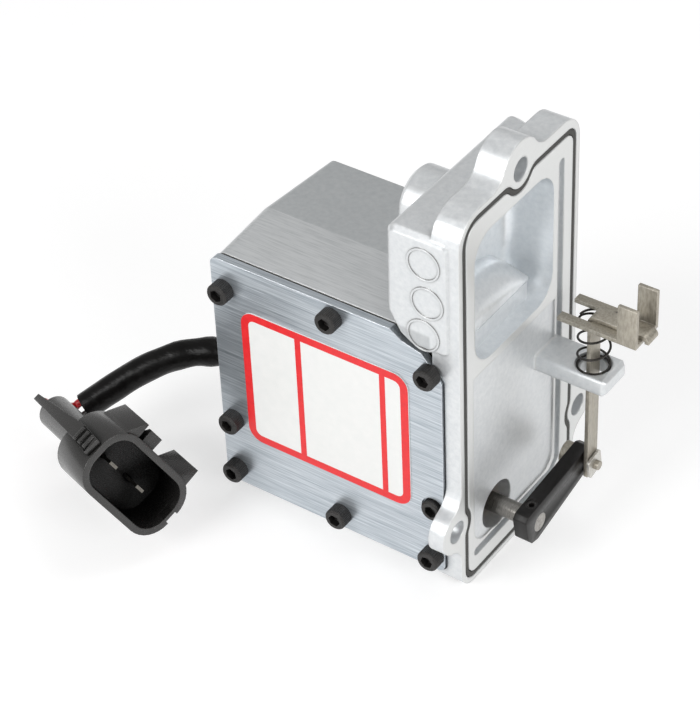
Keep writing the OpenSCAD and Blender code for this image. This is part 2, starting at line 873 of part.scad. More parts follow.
module link_fork() {
    wall_x = fork_end - fork_wall_l;
    color([0.58, 0.56, 0.52])
        difference() {
            union() {
                translate([fork_tip, pin_y - fork_w / 2, fork_z])
                    cube([fork_end - fork_tip, fork_w, sheet_t]);
                for (s = [-1, 1])
                    translate([wall_x, pin_y + s * (fork_w - sheet_t) / 2 - sheet_t / 2, fork_z])
                        cube([fork_wall_l, sheet_t, fork_wall_h]);
            }
            translate([fork_tip - 1, pin_y - fork_gap / 2, fork_z - 1])
                cube([strip_x1 + 1.3 - fork_tip, fork_gap, sheet_t + 2]);
        }
}

module link_spring() {
    z0 = tab_top - seat_depth + link_wire / 2;
    z1 = fork_z - link_wire / 2 - 0.05;
    color([0.1, 0.1, 0.1])
        translate([strip_x, tab_y, z0 + 0.05])
            coil(link_spring_d / 2 - link_wire / 2, link_wire, 4.5,
                [[0, 0], [0.9, link_wire * 1.05], [3.6, z1 - z0 - link_wire * 1.1], [4.5, z1 - z0 - 0.05]], 14, 8);
}

// Solenoid

module armature() {
    color([0.42, 0.42, 0.43])
        difference() {
            union() {
                bar_x(core_x, core_l, hub_d, shaft_y, shaft_z);
                translate([0, shaft_y, shaft_z])
                    rotate([rest_angle, 0, 0])
                        translate([core_x + 0.5, -arm_t / 2, shaft_d / 2 + 1.4])
                            cube([core_l - 1, arm_t, arm_reach - shaft_d / 2 - 1.4]);
            }
            bar_x(core_x - 1, core_l + 2, shaft_d + 2 * press_fit, shaft_y, shaft_z);
        }
}

// Core plan: yoke, two limbs and the slanted pole faces
module core_plan() {
    difference() {
        union() {
            translate([yoke_front, low_limb[0]])
                square([yoke_t, top_limb[1] - low_limb[0]]);
            for (z = [low_limb, top_limb])
                translate([-10, z[0]])
                    square([10 + yoke_rear, z[1] - z[0]]);
        }
        translate([shaft_y, shaft_z])
            rotate(-end_angle)
                translate([-60 + arm_t / 2 + pole_gap, -60])
                    square([60, 160]);
    }
}

module stator_core() {
    color([0.36, 0.37, 0.4])
        difference() {
            union() {
                along_x(core_x, core_l)
                    core_plan();
                for (z = [low_limb, top_limb])
                    translate([core_x - 6, yoke_rear - 2.5, z[0]])
                        cube([core_l + 12, 2.5, z[1] - z[0]]);
            }
            for (x = [core_x - 2.6, core_x + core_l + 2.6])
                for (z = [low_limb, top_limb])
                    bar_y(yoke_rear - 4, 6, 3.4, x, (z[0] + z[1]) / 2);
        }
}

module core_screws() {
    color([0.7, 0.7, 0.7])
        for (x = [core_x - 2.6, core_x + core_l + 2.6])
            for (z = [low_limb, top_limb])
                difference() {
                    union() {
                        bar_y(yoke_rear - 5, 2.5, 5, x, (z[0] + z[1]) / 2);
                        bar_y(yoke_rear - 3, 9.4, 3, x, (z[0] + z[1]) / 2);
                    }
                    translate([x, yoke_rear - 5.5, (z[0] + z[1]) / 2])
                        rotate([-90, 0, 0])
                            cylinder(h = 2, d = 2.6, $fn = 6);
                }
}

// Ring round the yoke between two half sizes
module yoke_ring(z0, h, ax, ay, bx, by, r) {
    translate([core_mid, yoke_mid, z0])
        linear_extrude(height = h)
            difference() {
                soft_rect([-bx, -by], [bx, by], r);
                translate([-ax, -ay])
                    square([2 * ax, 2 * ay]);
            }
}

module coil_bobbin() {
    inner_x = core_l / 2 + part_gap;
    inner_y = yoke_t / 2 + part_gap;
    color([0.85, 0.82, 0.74])
        union() {
            yoke_ring(coil_z[0], coil_z[1] - coil_z[0], inner_x, inner_y, bobbin_x, bobbin_y, 1);
            for (z = [coil_z[0], coil_z[1] - 1.2])
                yoke_ring(z, 1.2, inner_x, inner_y, bobbin_x + winding_t, bobbin_y + winding_t, 2);
        }
}

module coil_winding() {
    color([0.7, 0.36, 0.16])
        yoke_ring(coil_z[0] + 1.2 + 0.1, coil_z[1] - coil_z[0] - 2.6, bobbin_x + 0.05, bobbin_y + 0.05,
            bobbin_x + winding_t - 0.4, bobbin_y + winding_t - 0.4, 3);
}

module return_spring() {
    x0 = end_boss_x + part_gap + return_wire / 2;
    x1 = core_x - part_gap - return_wire / 2;
    color([0.25, 0.25, 0.26])
        translate([x0, shaft_y, shaft_z])
            rotate([0, 90, 0])
                coil(return_r, return_wire, 6, [[0, 0], [6, x1 - x0]], 10, 8);
}

module stop_pin() {
    color([0.6, 0.6, 0.6])
        bar_x(cav_left - 2.4, core_x + 3 - cav_left + 2.4, stop_d, stop_y, stop_z, small);
}

// Cable

module cable_gland() {
    wall_in = -box_reach + box_wall;
    color([0.12, 0.12, 0.12])
        difference() {
            union() {
                bar_x(gland_out, wall_in - gland_out, gland_d, gland_y, gland_z, small);
                bar_x(gland_out, 2, gland_collar_d, gland_y, gland_z, small);
                translate([gland_tip, gland_y, gland_z])
                    rotate([0, 90, 0])
                        cylinder(h = gland_out - gland_tip, d1 = sleeve_d + 1, d2 = gland_collar_d - 2, $fn = small);
            }
            bar_x(gland_out, 10, sleeve_d - 1, gland_y, gland_z, small);
        }
}

module cable_sleeve() {
    color([0.1, 0.1, 0.1])
        cord(sleeve_route, sleeve_d, 12, 3);
}

// Rear of one of the two connector ways in the row frame
function turn_x(v, a) = [v[0], v[1] * cos(a) - v[2] * sin(a), v[1] * sin(a) + v[2] * cos(a)];
function turn_y(v, a) = [v[0] * cos(a) + v[2] * sin(a), v[1], v[2] * cos(a) - v[0] * sin(a)];
function turn_z(v, a) = [v[0] * cos(a) - v[1] * sin(a), v[0] * sin(a) + v[1] * cos(a), v[2]];
function on_connector(v) =
    mouth_at + turn_z(turn_y(turn_x(v, mouth_turn[0]), mouth_turn[1]), mouth_turn[2]);

sleeve_end = sleeve_route[len(sleeve_route) - 1];
sleeve_way = unit(sleeve_end - sleeve_route[len(sleeve_route) - 2]);
lead_side = unit(cross([0.46, -0.62, 0.64], sleeve_way));

module lead(s) {
    start = sleeve_end + 0.05 * sleeve_way + s * 1.7 * lead_side;
    goal = on_connector([s * way_pitch / 2, 0, -connector_l - 0.05]);
    out = on_connector([s * way_pitch / 2, 0, -connector_l - 3]);
    far = on_connector([s * way_pitch / 2, 0, -connector_l - 6]);
    cord([start, start + 1.2 * sleeve_way, start + 2.4 * sleeve_way,
        (start + 5 * sleeve_way + far) / 2, far, out, goal], lead_d, 8, 3);
}

module lead_red() {
    color([0.75, 0.1, 0.08])
        lead(-1);
}

module lead_black() {
    color([0.1, 0.1, 0.1])
        lead(1);
}

// Connector, drawn with its mouth at Z = 0 and turned into place

module on_cord_end() {
    translate(mouth_at)
        rotate(mouth_turn)
            children();
}

module shroud_plan(inset) {
    soft_rect([-shroud_w / 2 + inset, -shroud_h / 2 + inset], [shroud_w / 2 - inset, shroud_h / 2 - inset],
        shroud_r - inset);
}

module connector_shell() {
    color([0.2, 0.2, 0.2])
        on_cord_end()
            difference() {
                union() {
                    translate([0, 0, -shroud_l])
                        linear_extrude(height = shroud_l)
                            shroud_plan(0);
                    for (s = [-1, 1])
                        translate([s * way_pitch / 2, 0, -connector_l])
                            cylinder(h = connector_l - shroud_l + 1, d = tower_d, $fn = small);
                    translate([-way_pitch / 2, -tower_d / 2 + 1, -connector_l + 3])
                        cube([way_pitch, tower_d - 2, connector_l - shroud_l - 2]);
                    for (x = [-10.2, 10.8])
                        translate([x, shroud_h / 2, -fin_l - 0.6])
                            linear_extrude(height = fin_l)
                                polygon([[-2.6, -1.6], [-1.8, 0], [0.8, fin_h], [1.3, fin_h], [1.6, -1.6]]);
                    translate([-4, shroud_h / 2 - 0.3, -1.5])
                        rotate([0, 90, 0])
                            translate([0, 0, -2.5])
                                linear_extrude(height = 4.4)
                                    polygon([[0, 0], [0, fin_h - 0.2], [1, fin_h - 0.2], [4.5, 0]]);
                }
                translate([0, 0, -mouth_depth])
                    linear_extrude(height = mouth_depth + 1)
                        shroud_plan(shroud_wall);
                for (s = [-1, 1])
                    translate([s * way_pitch / 2 - blade_w / 2 - 0.1, -blade_t / 2 - 0.1, -connector_l + 6])
                        cube([blade_w + 0.2, blade_t + 0.2, connector_l - mouth_depth]);
                for (s = [-1, 1])
                    translate([s * way_pitch / 2, 0, -connector_l - 1])
                        cylinder(h = 7.5, d = 6, $fn = small);
                translate([shroud_w / 2 - 3, -1.6, -3])
                    cube([4, 3.2, 4]);
            }
}

module connector_terminals() {
    color([0.75, 0.75, 0.72])
        on_cord_end()
            for (s = [-1, 1])
                translate([s * way_pitch / 2 - blade_w / 2, -blade_t / 2, -connector_l + 7])
                    cube([blade_w, blade_t, connector_l - 7 - blade_tip]);
}

module wire_seals() {
    color([0.25, 0.25, 0.26])
        on_cord_end()
            for (s = [-1, 1])
                translate([s * way_pitch / 2, 0, -connector_l])
                    cylinder(h = 5, d = 6 - 2 * press_fit, $fn = small);
}

module lock_strap() {
    color([0.18, 0.18, 0.18])
        on_cord_end()
            union() {
                translate([-shroud_w / 2 - 1.7, 0, 0])
                    rotate([0, 90, 0])
                        linear_extrude(height = 1.6)
                            polygon([[1, -2.4], [8.6, -1.6], [30.4, -1.1], [30.4, 0.6], [8, 2.6], [0.6, 2]]);
                for (z = [3, 5.4, 7.8])
                    translate([-shroud_w / 2 - 2.1, -1.6, -z])
                        cube([0.8, 3.6, 1]);
            }
}

housing();
cover_plate();
cover_gasket();
cover_screws();
nameplate();
face_seal();
output_shaft();
flange_bushing();
end_bushing();
lever_arm();
lever_set_screw();
pivot_pin();
retaining_clip();
link_strip();
link_fork();
link_spring();
armature();
stator_core();
core_screws();
coil_bobbin();
coil_winding();
return_spring();
stop_pin();
cable_gland();
cable_sleeve();
lead_red();
lead_black();
connector_shell();
connector_terminals();
wire_seals();
lock_strap();
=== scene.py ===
"""Dresses the engine governor actuator: cast housing, cover, shaft, link, cable and connector.

Everything is in metres in the part's own frame: X = 0 is the mating face, Z is up and the label
looks along -Y. Sizes are written in millimetres and turned to metres where a mesh is made.
"""

from __future__ import annotations

import json
import logging
import math
from dataclasses import dataclass, field
from enum import Enum
from typing import Any, Sequence

import bmesh
import bpy
from bmesh.types import BMEdge, BMesh, BMFace, BMVert
from bpy.types import ID, Material, Mesh, Node, NodeSocket, NodeTree, Object, World
from mathutils import Euler, Matrix, Vector

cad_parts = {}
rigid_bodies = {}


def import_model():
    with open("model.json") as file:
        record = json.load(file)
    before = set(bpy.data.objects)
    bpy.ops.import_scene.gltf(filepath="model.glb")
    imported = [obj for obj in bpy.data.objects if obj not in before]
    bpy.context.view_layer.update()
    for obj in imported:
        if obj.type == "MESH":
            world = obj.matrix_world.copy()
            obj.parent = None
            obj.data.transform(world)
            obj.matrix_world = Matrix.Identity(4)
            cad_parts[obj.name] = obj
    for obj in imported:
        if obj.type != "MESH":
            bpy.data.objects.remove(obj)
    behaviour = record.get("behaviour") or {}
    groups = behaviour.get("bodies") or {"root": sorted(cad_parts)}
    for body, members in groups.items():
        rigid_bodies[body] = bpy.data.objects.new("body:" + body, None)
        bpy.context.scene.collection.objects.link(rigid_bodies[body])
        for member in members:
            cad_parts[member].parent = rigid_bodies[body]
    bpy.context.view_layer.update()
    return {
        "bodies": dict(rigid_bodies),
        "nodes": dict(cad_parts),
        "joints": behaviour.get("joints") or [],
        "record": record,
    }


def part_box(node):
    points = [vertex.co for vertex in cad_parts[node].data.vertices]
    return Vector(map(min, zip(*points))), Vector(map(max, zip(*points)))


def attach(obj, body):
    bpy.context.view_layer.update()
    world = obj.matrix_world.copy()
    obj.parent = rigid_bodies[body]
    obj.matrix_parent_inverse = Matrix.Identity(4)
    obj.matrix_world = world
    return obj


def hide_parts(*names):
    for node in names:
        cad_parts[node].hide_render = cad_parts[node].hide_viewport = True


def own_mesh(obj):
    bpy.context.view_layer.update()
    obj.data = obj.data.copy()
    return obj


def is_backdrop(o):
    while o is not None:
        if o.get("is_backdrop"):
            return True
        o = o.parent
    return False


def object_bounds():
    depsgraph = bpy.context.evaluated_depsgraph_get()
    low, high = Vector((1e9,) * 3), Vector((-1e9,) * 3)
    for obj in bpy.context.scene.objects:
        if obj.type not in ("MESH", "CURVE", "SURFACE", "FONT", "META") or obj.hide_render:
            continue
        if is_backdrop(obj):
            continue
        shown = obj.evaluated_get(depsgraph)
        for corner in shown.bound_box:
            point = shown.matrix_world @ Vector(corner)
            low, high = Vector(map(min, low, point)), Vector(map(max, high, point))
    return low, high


LOG = logging.getLogger("actuator")
MM = 0.001
Point = tuple[float, float, float]
Pair = tuple[float, float]
Band = tuple[str, float, float]

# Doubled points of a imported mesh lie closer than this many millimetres.
WELD = 0.002
# Material number of the faces that wear a piece's second finish.
SECOND = 1
# Quarter turn about X, which stands a flat shape up so that its top looks along -Y.
STAND = Matrix.Rotation(math.pi / 2, 4, "X")
# Spans that a value is stretched from: most of a grain, and most of the belt marks.
NOISE_SPAN = {"From Min": 0.3, "From Max": 0.7}
STREAK_SPAN = {"From Min": 0.25, "From Max": 0.6}
# Likeness of the rounded normal to the true one where wear starts and where it is full.
EDGE_SPAN = {"From Min": 0.98, "From Max": 0.78, "To Max": 0.75}
# Openness of a hollow where its painted shade is full and where it is clear.
OPEN_SPAN = {"From Min": 0.3, "From Max": 0.9}
BUMP_STRENGTH = 0.6


class Body(Enum):
    """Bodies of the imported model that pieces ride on."""

    HOUSING = "housing_body"
    SHAFT = "shaft_assembly"
    LINK = "link"


def linear(hex_colour: str) -> tuple[float, float, float, float]:
    """Turn an sRGB hex value into a linear colour.

    Args:
        hex_colour: Six hex digits with a leading hash sign.

    Returns:
        Red, green, blue and alpha, linear.
    """
    parts = [int(hex_colour[i : i + 2], 16) / 255 for i in (1, 3, 5)]
    curve = [c / 12.92 if c <= 0.04045 else ((c + 0.055) / 1.055) ** 2.4 for c in parts]
    return (*curve, 1.0)


def per_mm(size: float) -> float:
    """Pattern scale for a feature of this many millimetres."""
    return 1.0 / (size * MM)


def add_node(tree: NodeTree, kind: str, inputs: dict[Any, Any] | None = None) -> Node:
    """Add a node, set its sockets and properties, and link its inputs.

    Args:
        tree: Node tree that gets the node.
        kind: The node's type name without its prefix.
        inputs: Values, output sockets and nodes, which stand for their first outputs, by socket
            name, socket number or property name.

    Returns:
        The new node.
    """
    node = tree.nodes.new(f"ShaderNode{kind}")
    for key, value in (inputs or {}).items():
        if isinstance(value, Node):
            value = value.outputs[0]
        if isinstance(value, NodeSocket):
            tree.links.new(value, node.inputs[key])
        elif isinstance(key, int) or key in node.inputs:
            node.inputs[key].default_value = value
        else:
            setattr(node, key, value)
    return node


def cleared(owner: Material | World) -> NodeTree:
    """Give a material or world an empty node tree.

    Args:
        owner: The new material or world.

    Returns:
        Its node tree.
    """
    owner.use_nodes = True
    owner.node_tree.nodes.clear()
    return owner.node_tree


def baked(bm: BMesh, name: str) -> Mesh:
    """Turn a shape into a mesh.

    Args:
        bm: The shape. It is freed.
        name: Name of the mesh.

    Returns:
        The new mesh.
    """
    mesh = bpy.data.meshes.new(name)
    bm.to_mesh(mesh)
    bm.free()
    return mesh


def placed(name: str, data: ID) -> Object:
    """Put a mesh, curve, lamp or camera into the scene.

    Args:
        name: Name of the object.
        data: What it shows.

    Returns:
        The new object.
    """
    obj = bpy.data.objects.new(name, data)
    bpy.context.scene.collection.objects.link(obj)
    return obj


def drawn_out(
    bm: BMesh, edges: Sequence[BMEdge]
) -> tuple[list[BMVert], list[BMEdge], list[BMFace]]:
    """Start a new course of faces on a loop of edges.

    Args:
        bm: The shape.
        edges: The loop.

    Returns:
        The new points and edges, which still lie on the loop, and the new faces.
    """
    grown = bmesh.ops.extrude_edge_only(bm, edges=edges)["geom"]
    kinds = (BMVert, BMEdge, BMFace)
    verts, loop, faces = ([g for g in grown if isinstance(g, kind)] for kind in kinds)
    return verts, loop, faces


def rounded(
    bm: BMesh,
    geom: Sequence[Any],
    width: float,
    segments: int,
    affect: str = "EDGES",
    clamp: bool = False,
) -> None:
    """Round edges or corners.

    Args:
        bm: The shape.
        geom: The edges or points.
        width: Width of the rounding in the shape's own unit.
        segments: Faces across the rounding.
        affect: EDGES or VERTICES.
        clamp: True to keep roundings from running into each other.
    """
    bmesh.ops.bevel(
        bm, geom=geom, offset=width, offset_type="OFFSET", segments=segments, profile=0.5,
        affect=affect, clamp_overlap=clamp, material=-1,
    )


@dataclass(frozen=True)
class Finish:
    """A surface finish: two tones, a gloss range and a fine relief of a real grain size."""

    name: str
    light: str
    dark: str
    metallic: float
    gloss: Pair
    grain: float
    relief: float
    stretch: Point = (1.0, 1.0, 1.0)
    edge: float = 0.0
    edge_tone: str = "#FFFFFF"
    shine: float = 0.5
    # Reach in millimetres and tone of the painted shade that ambient occlusion lays in hollows.
    painted_shade_reach: float = 0.0
    painted_shade_tone: str = "#060606"

    def start(self) -> tuple[Material, NodeTree, Node, NodeSocket, NodeSocket]:
        """Start the material with its grain, in the part's own millimetres, and its two tones.

        Returns:
            The material, its node tree, its shader, the grain from 0 to 1 and the colour.
        """
        mat = bpy.data.materials.new(self.name)
        mat.diffuse_color = linear(self.light)
        tree = cleared(mat)
        shader = add_node(
            tree, "BsdfPrincipled", {"Metallic": self.metallic, "Specular IOR Level": self.shine}
        )
        add_node(tree, "OutputMaterial", {"Surface": shader})
        place = add_node(tree, "TexCoord").outputs["Object"]
        turn = add_node(tree, "Mapping", {"Scale": self.stretch, "Vector": place})
        scale = per_mm(self.grain)
        noise = add_node(
            tree, "TexNoise", {"Scale": scale, "Detail": 4.0, "Roughness": 0.6, "Vector": turn}
        ).outputs["Fac"]
        spread = add_node(tree, "MapRange", {**NOISE_SPAN, "Value": noise})
        ends = {6: linear(self.dark), 7: linear(self.light)}
        mix = add_node(tree, "Mix", {"data_type": "RGBA", **ends, 0: spread})
        return mat, tree, shader, noise, mix.outputs[2]

    def worn(self, tree: NodeTree, colour: NodeSocket) -> tuple[NodeSocket, NodeSocket]:
        """Brighten the edges, where handling has rubbed the surface.

        Args:
            tree: Node tree of the finish.
            colour: The colour away from edges.

        Returns:
            The colour with its edges, and the normal that rounds them.
        """
        soft = add_node(tree, "Bevel", {"samples": 4, "Radius": self.edge * MM})
        shape = add_node(tree, "NewGeometry")
        same = add_node(
            tree, "VectorMath", {"operation": "DOT_PRODUCT", 0: soft, 1: shape.outputs["Normal"]}
        )
        rub = add_node(tree, "MapRange", {**EDGE_SPAN, "Value": same.outputs["Value"]})
        tone = linear(self.edge_tone)
        mix = add_node(tree, "Mix", {"data_type": "RGBA", 0: rub, 6: colour, 7: tone})
        return mix.outputs[2], soft.outputs[0]

    def paint_hollow_shade(self, tree: NodeTree, shader: Node, colour: NodeSocket) -> NodeSocket:
        """Paint shade into deep hollows, where little light reaches: ambient occlusion darkens the
        colour and dulls the sheen.

        Args:
            tree: Node tree of the finish.
            shader: The shader whose sheen fades.
            colour: The colour in the open.

        Returns:
            The colour with painted shade in its hollows.
        """
        deep = add_node(
            tree, "AmbientOcclusion", {"samples": 6, "Distance": self.painted_shade_reach * MM, "Color": colour}
        )
        open_air = add_node(tree, "MapRange", {**OPEN_SPAN, "Value": deep.outputs["AO"]})
        tone = linear(self.painted_shade_tone)
        mix = add_node(tree, "Mix", {"data_type": "RGBA", 0: open_air, 6: tone, 7: colour})
        sheen = add_node(tree, "Math", {"operation": "MULTIPLY", 0: open_air, 1: self.shine})
        tree.links.new(sheen.outputs[0], shader.inputs["Specular IOR Level"])
        return mix.outputs[2]

    def relieve(
        self, tree: NodeTree, shader: Node, noise: NodeSocket, normal: NodeSocket | None
    ) -> None:
        """Give the shader its gloss range and its fine relief.

        Args:
            tree: Node tree of the finish.
            shader: The shader that is fed.
            noise: The grain, from 0 to 1.
            normal: The normal that the relief stands on, if edges are rounded.
        """
        low, high = self.gloss
        gloss = add_node(
            tree, "MapRange", {**NOISE_SPAN, "To Min": low, "To Max": high, "Value": noise}
        )
        relief = {"Strength": BUMP_STRENGTH, "Distance": self.relief * MM, "Height": noise}
        if normal is not None:
            relief["Normal"] = normal
        bump = add_node(tree, "Bump", relief)
        tree.links.new(gloss.outputs[0], shader.inputs["Roughness"])
        tree.links.new(bump.outputs[0], shader.inputs["Normal"])

    def material(self) -> Material:
        """Make the material.

        Returns:
            The finished material.
        """
        mat, tree, shader, noise, colour = self.start()
        normal = None
        if self.edge > 0:
            colour, normal = self.worn(tree, colour)
        # Painted shade: hollows found by ambient occlusion are darkened and lose their sheen.
        if self.painted_shade_reach > 0:
            colour = self.paint_hollow_shade(tree, shader, colour)
        tree.links.new(colour, shader.inputs["Base Color"])
        self.relieve(tree, shader, noise, normal)
        return mat


@dataclass(frozen=True)
class CastFinish(Finish):
    """Cast aluminium with a milled mating land and a box half that was sanded on a belt."""

    land: str = "#DADBDA"
    sanded: str = "#CFD1D2"
    box: str = "#DFE0E0"
    streak: float = 0.35
    streak_stretch: Point = (0.05, 1.0, 1.0)
    # Zones of the casting, band by band: the axis, and the millimetres where the band starts and
    # where it is full.
    boxed: tuple[Band, ...] = (("X", -7.4, -8.0), ("Z", 77.0, 76.2))
    belted: tuple[Band, ...] = (("Y", -4.4, -4.6), ("X", -16.0, -20.0))
    milled: tuple[Band, ...] = (("X", -0.2, -0.1), ("X", 0.3, 0.2))
    # Depths over which the painted shade of deep holes fades in.
    deep: tuple[Band, ...] = (("X", -1.6, -2.6),)

    def zone(self, tree: NodeTree, axes: Node, bands: Sequence[Band], *patterns: Node) -> Node:
        """Mask a zone of the casting.

        Args:
            tree: Node tree of the finish.
            axes: Node that gives the place along each axis.
            bands: Bands that the zone lies within.
            patterns: Masks that also thin it out.

        Returns:
            The mask, from 0 outside the zone to 1 within it.
        """
        mask, *others = [
            add_node(
                tree,
                "MapRange",
                {"From Min": start * MM, "From Max": full * MM, "Value": axes.outputs[axis]},
            )
            for axis, start, full in bands
        ]
        for other in (*others, *patterns):
            mask = add_node(tree, "Math", {"operation": "MULTIPLY", 0: mask, 1: other})
        return mask

    def material(self) -> Material:
        """Make the material.

        Returns:
            The finished material.
        """
        mat, tree, shader, noise, colour = self.start()
        place = add_node(tree, "TexCoord").outputs["Object"]
        axes = add_node(tree, "SeparateXYZ", {"Vector": place})
        # Belt marks run along the box, a third of a millimetre apart.
        turn = add_node(tree, "Mapping", {"Scale": self.streak_stretch, "Vector": place})
        scale = per_mm(self.streak)
        streaks = add_node(tree, "TexNoise", {"Scale": scale, "Detail": 3.0, "Vector": turn})
        belt = add_node(tree, "MapRange", {**STREAK_SPAN, "Value": streaks.outputs["Fac"]})
        # The box under the neck and behind the flange is toned darker than both, and the belt and
        # the mill lay their own tones over it.
        for tone, blend, zone in (
            (self.box, "MULTIPLY", self.zone(tree, axes, self.boxed)),
            (self.sanded, "MIX", self.zone(tree, axes, self.belted, belt)),
            (self.land, "MIX", self.zone(tree, axes, self.milled)),
        ):
            layer = add_node(
                tree,
                "Mix",
                {"data_type": "RGBA", "blend_type": blend, 7: linear(tone), 0: zone, 6: colour},
            )
            colour = layer.outputs[2]
        colour, normal = self.worn(tree, colour)
        # Painted shade: only what lies deeper than the drain channel is darkened by ambient
        # occlusion; the channel itself stays bright.
        dim, dark = self.zone(tree, axes, self.deep), self.paint_hollow_shade(tree, shader, colour)
        dimmed = add_node(tree, "Mix", {"data_type": "RGBA", 0: dim, 6: colour, 7: dark})
        tree.links.new(dimmed.outputs[2], shader.inputs["Base Color"])
        self.relieve(tree, shader, noise, normal)
        return mat


@dataclass(frozen=True)
class Palette:
    """Finishes by the slots of the record, and three more that single pieces wear."""

    finishes: dict[str, Finish] = field(
        default_factory=lambda: {
            # Cast aluminium, tumbled: pale silver with a faint mottled skin, bright worn edges,
            # and painted shade in its deep holes.
            "cast_aluminium": CastFinish(
                "cast_aluminium_tumbled", "#DDDFE0", "#CFD2D4", 0.55, (0.34, 0.44), 1.3, 0.04,
                edge=0.7, edge_tone="#E6E7E7", painted_shade_reach=2.6, painted_shade_tone="#4A4846",
            ),
            # Rolled aluminium sheet brushed along its length: fine level streaks with a blue cast.
            "brushed_plate": Finish(
                "aluminium_sheet_brushed", "#CED4D9", "#98A1A9", 0.8, (0.28, 0.42), 0.3, 0.012,
                stretch=(0.02, 1.0, 1.0), edge=0.3, edge_tone="#E4E6E8",
            ),
            # Nitrile rubber, moulded: dark grey, dull, with a faint bloom.
            "seal_rubber": Finish(
                "nitrile_rubber_moulded", "#4B4A47", "#2F2E2C", 0.0, (0.6, 0.75), 0.6, 0.02,
            ),
            # Black oxide on alloy steel: near black with an oily sheen, browner on rubbed edges.
            "black_oxide": Finish(
                "alloy_steel_black_oxide", "#2A2827", "#181716", 0.25, (0.38, 0.52), 0.5, 0.02,
                edge=0.15, edge_tone="#5A5754",
            ),
            # Polyester label film: clean white with a faint satin unevenness.
            "label": Finish(
                "polyester_film_white", "#F2F2F0", "#EDEEEC", 0.0, (0.32, 0.42), 3.0, 0.01,
            ),
            # Ground steel shaft: grey with fine turned rings.
            "shaft_steel": Finish(
                "steel_ground", "#A5A29D", "#6E6B67", 1.0, (0.25, 0.4), 0.4, 0.015,
                stretch=(4.0, 0.3, 0.3), edge=0.2, edge_tone="#D0CECA",
            ),
            # Sintered bronze: warm brown metal with open pores.
            "bronze": Finish("bronze_sintered", "#A4814E", "#7C5F38", 0.9, (0.4, 0.55), 0.4, 0.03),
            # Satin black enamel on steel: smooth, with a soft sheen and greyer rubbed edges.
            "lever_black": Finish(
                "steel_satin_black_enamel", "#161413", "#0E0D0C", 0.0, (0.32, 0.44), 0.8, 0.012,
                edge=0.35, edge_tone="#2F2C2A", shine=0.25,
            ),
            # Zinc plated steel strip gone dull: warm grey with pale sheared edges.
            "link_sheet": Finish(
                "steel_strip_dull_zinc", "#B4AEA1", "#908A7F", 0.7, (0.36, 0.5), 0.5, 0.02,
                stretch=(1.0, 1.0, 0.25), edge=0.25, edge_tone="#CFCBC2",
            ),
            # Music wire, oil tempered: near black with a fine drawn gloss.
            "spring_black": Finish(
                "spring_wire_oil_tempered", "#3A3734", "#221F1D", 0.6, (0.3, 0.42), 0.3, 0.01,
            ),
            # Laminated soft iron: dull grey stack with lines between its sheets.
            "soft_iron": Finish(
                "soft_iron_laminated", "#77746F", "#4E4B47", 0.8, (0.42, 0.58), 0.35, 0.03,
                stretch=(1.0, 0.05, 0.05),
            ),
            # Glass filled nylon bobbin: off white with faint flow marks.
            "bobbin_nylon": Finish(
                "nylon_bobbin_natural", "#D9D2BE", "#C6BEA8", 0.0, (0.4, 0.5), 1.2, 0.02,
            ),
            # Enamelled copper: amber wire turns lying side by side.
            "copper_wire": Finish(
                "copper_enamelled", "#B8692F", "#7A3D18", 0.85, (0.25, 0.4), 0.5, 0.06,
                stretch=(0.1, 0.1, 1.0),
            ),
            # Moulded rubber grommet: black and dull.
            "gland_rubber": Finish(
                "rubber_grommet_moulded", "#201F1E", "#141312", 0.0, (0.5, 0.65), 0.7, 0.03,
                shine=0.35,
            ),
            # Vinyl sleeve, extruded: black and glossy with soft creases along its run.
            "sleeve_vinyl": Finish(
                "vinyl_sleeve_extruded", "#0E0D0C", "#080707", 0.0, (0.28, 0.4), 4.0, 0.7,
                stretch=(0.4, 1.0, 1.0), shine=0.15,
            ),
            # Coloured wire insulation: clean, slightly glossy.
            "lead_red": Finish(
                "wire_insulation_red", "#D8202A", "#A8141C", 0.0, (0.3, 0.4), 1.0, 0.02,
            ),
            "lead_black": Finish(
                "wire_insulation_black", "#232221", "#171615", 0.0, (0.3, 0.4), 1.0, 0.02,
            ),
            # Glass filled nylon, moulded: charcoal with a fine spark eroded texture, and painted
            # shade darkening its mouth and hollows.
            "connector_nylon": Finish(
                "nylon_glass_filled_black", "#2A2928", "#222120", 0.0, (0.22, 0.32), 0.35, 0.01,
                edge=0.3, edge_tone="#403E3C", shine=0.65, painted_shade_reach=16.0,
            ),
            # Tin plated brass blades: bright, slightly frosted.
            "tin_plate": Finish(
                "brass_tin_plated", "#7D7A74", "#5C5954", 1.0, (0.25, 0.38), 0.4, 0.01,
            ),
            # Red printing ink, screen printed: flat signal red, a hair proud of the film.
            "print_red": Finish(
                "screen_ink_red", "#EE2A2E", "#E01F26", 0.0, (0.34, 0.44), 1.5, 0.01,
            ),
            # Cast aluminium straight from the die, in the pocket: brighter and cooler than the
            # tumbled outside, a tone that paints the bounce light filling the pocket.
            "die_skin_painted_bounce": Finish(
                "cast_aluminium_painted_bounce", "#EBEEF0", "#DFE3E6", 0.62, (0.3, 0.38), 1.3, 0.012,
            ),
            # Zinc plated spring steel: pale and bright.
            "clip_zinc": Finish(
                "spring_steel_bright_zinc", "#CFCDC7", "#ABA8A1", 0.7, (0.28, 0.4), 0.5, 0.015,
                edge=0.2, edge_tone="#E4E2DD",
            ),
        }
    )

    def make(self) -> dict[str, Material]:
        """Make every material.

        Returns:
            Materials by the names of their finishes.
        """
        return {name: finish.material() for name, finish in self.finishes.items()}


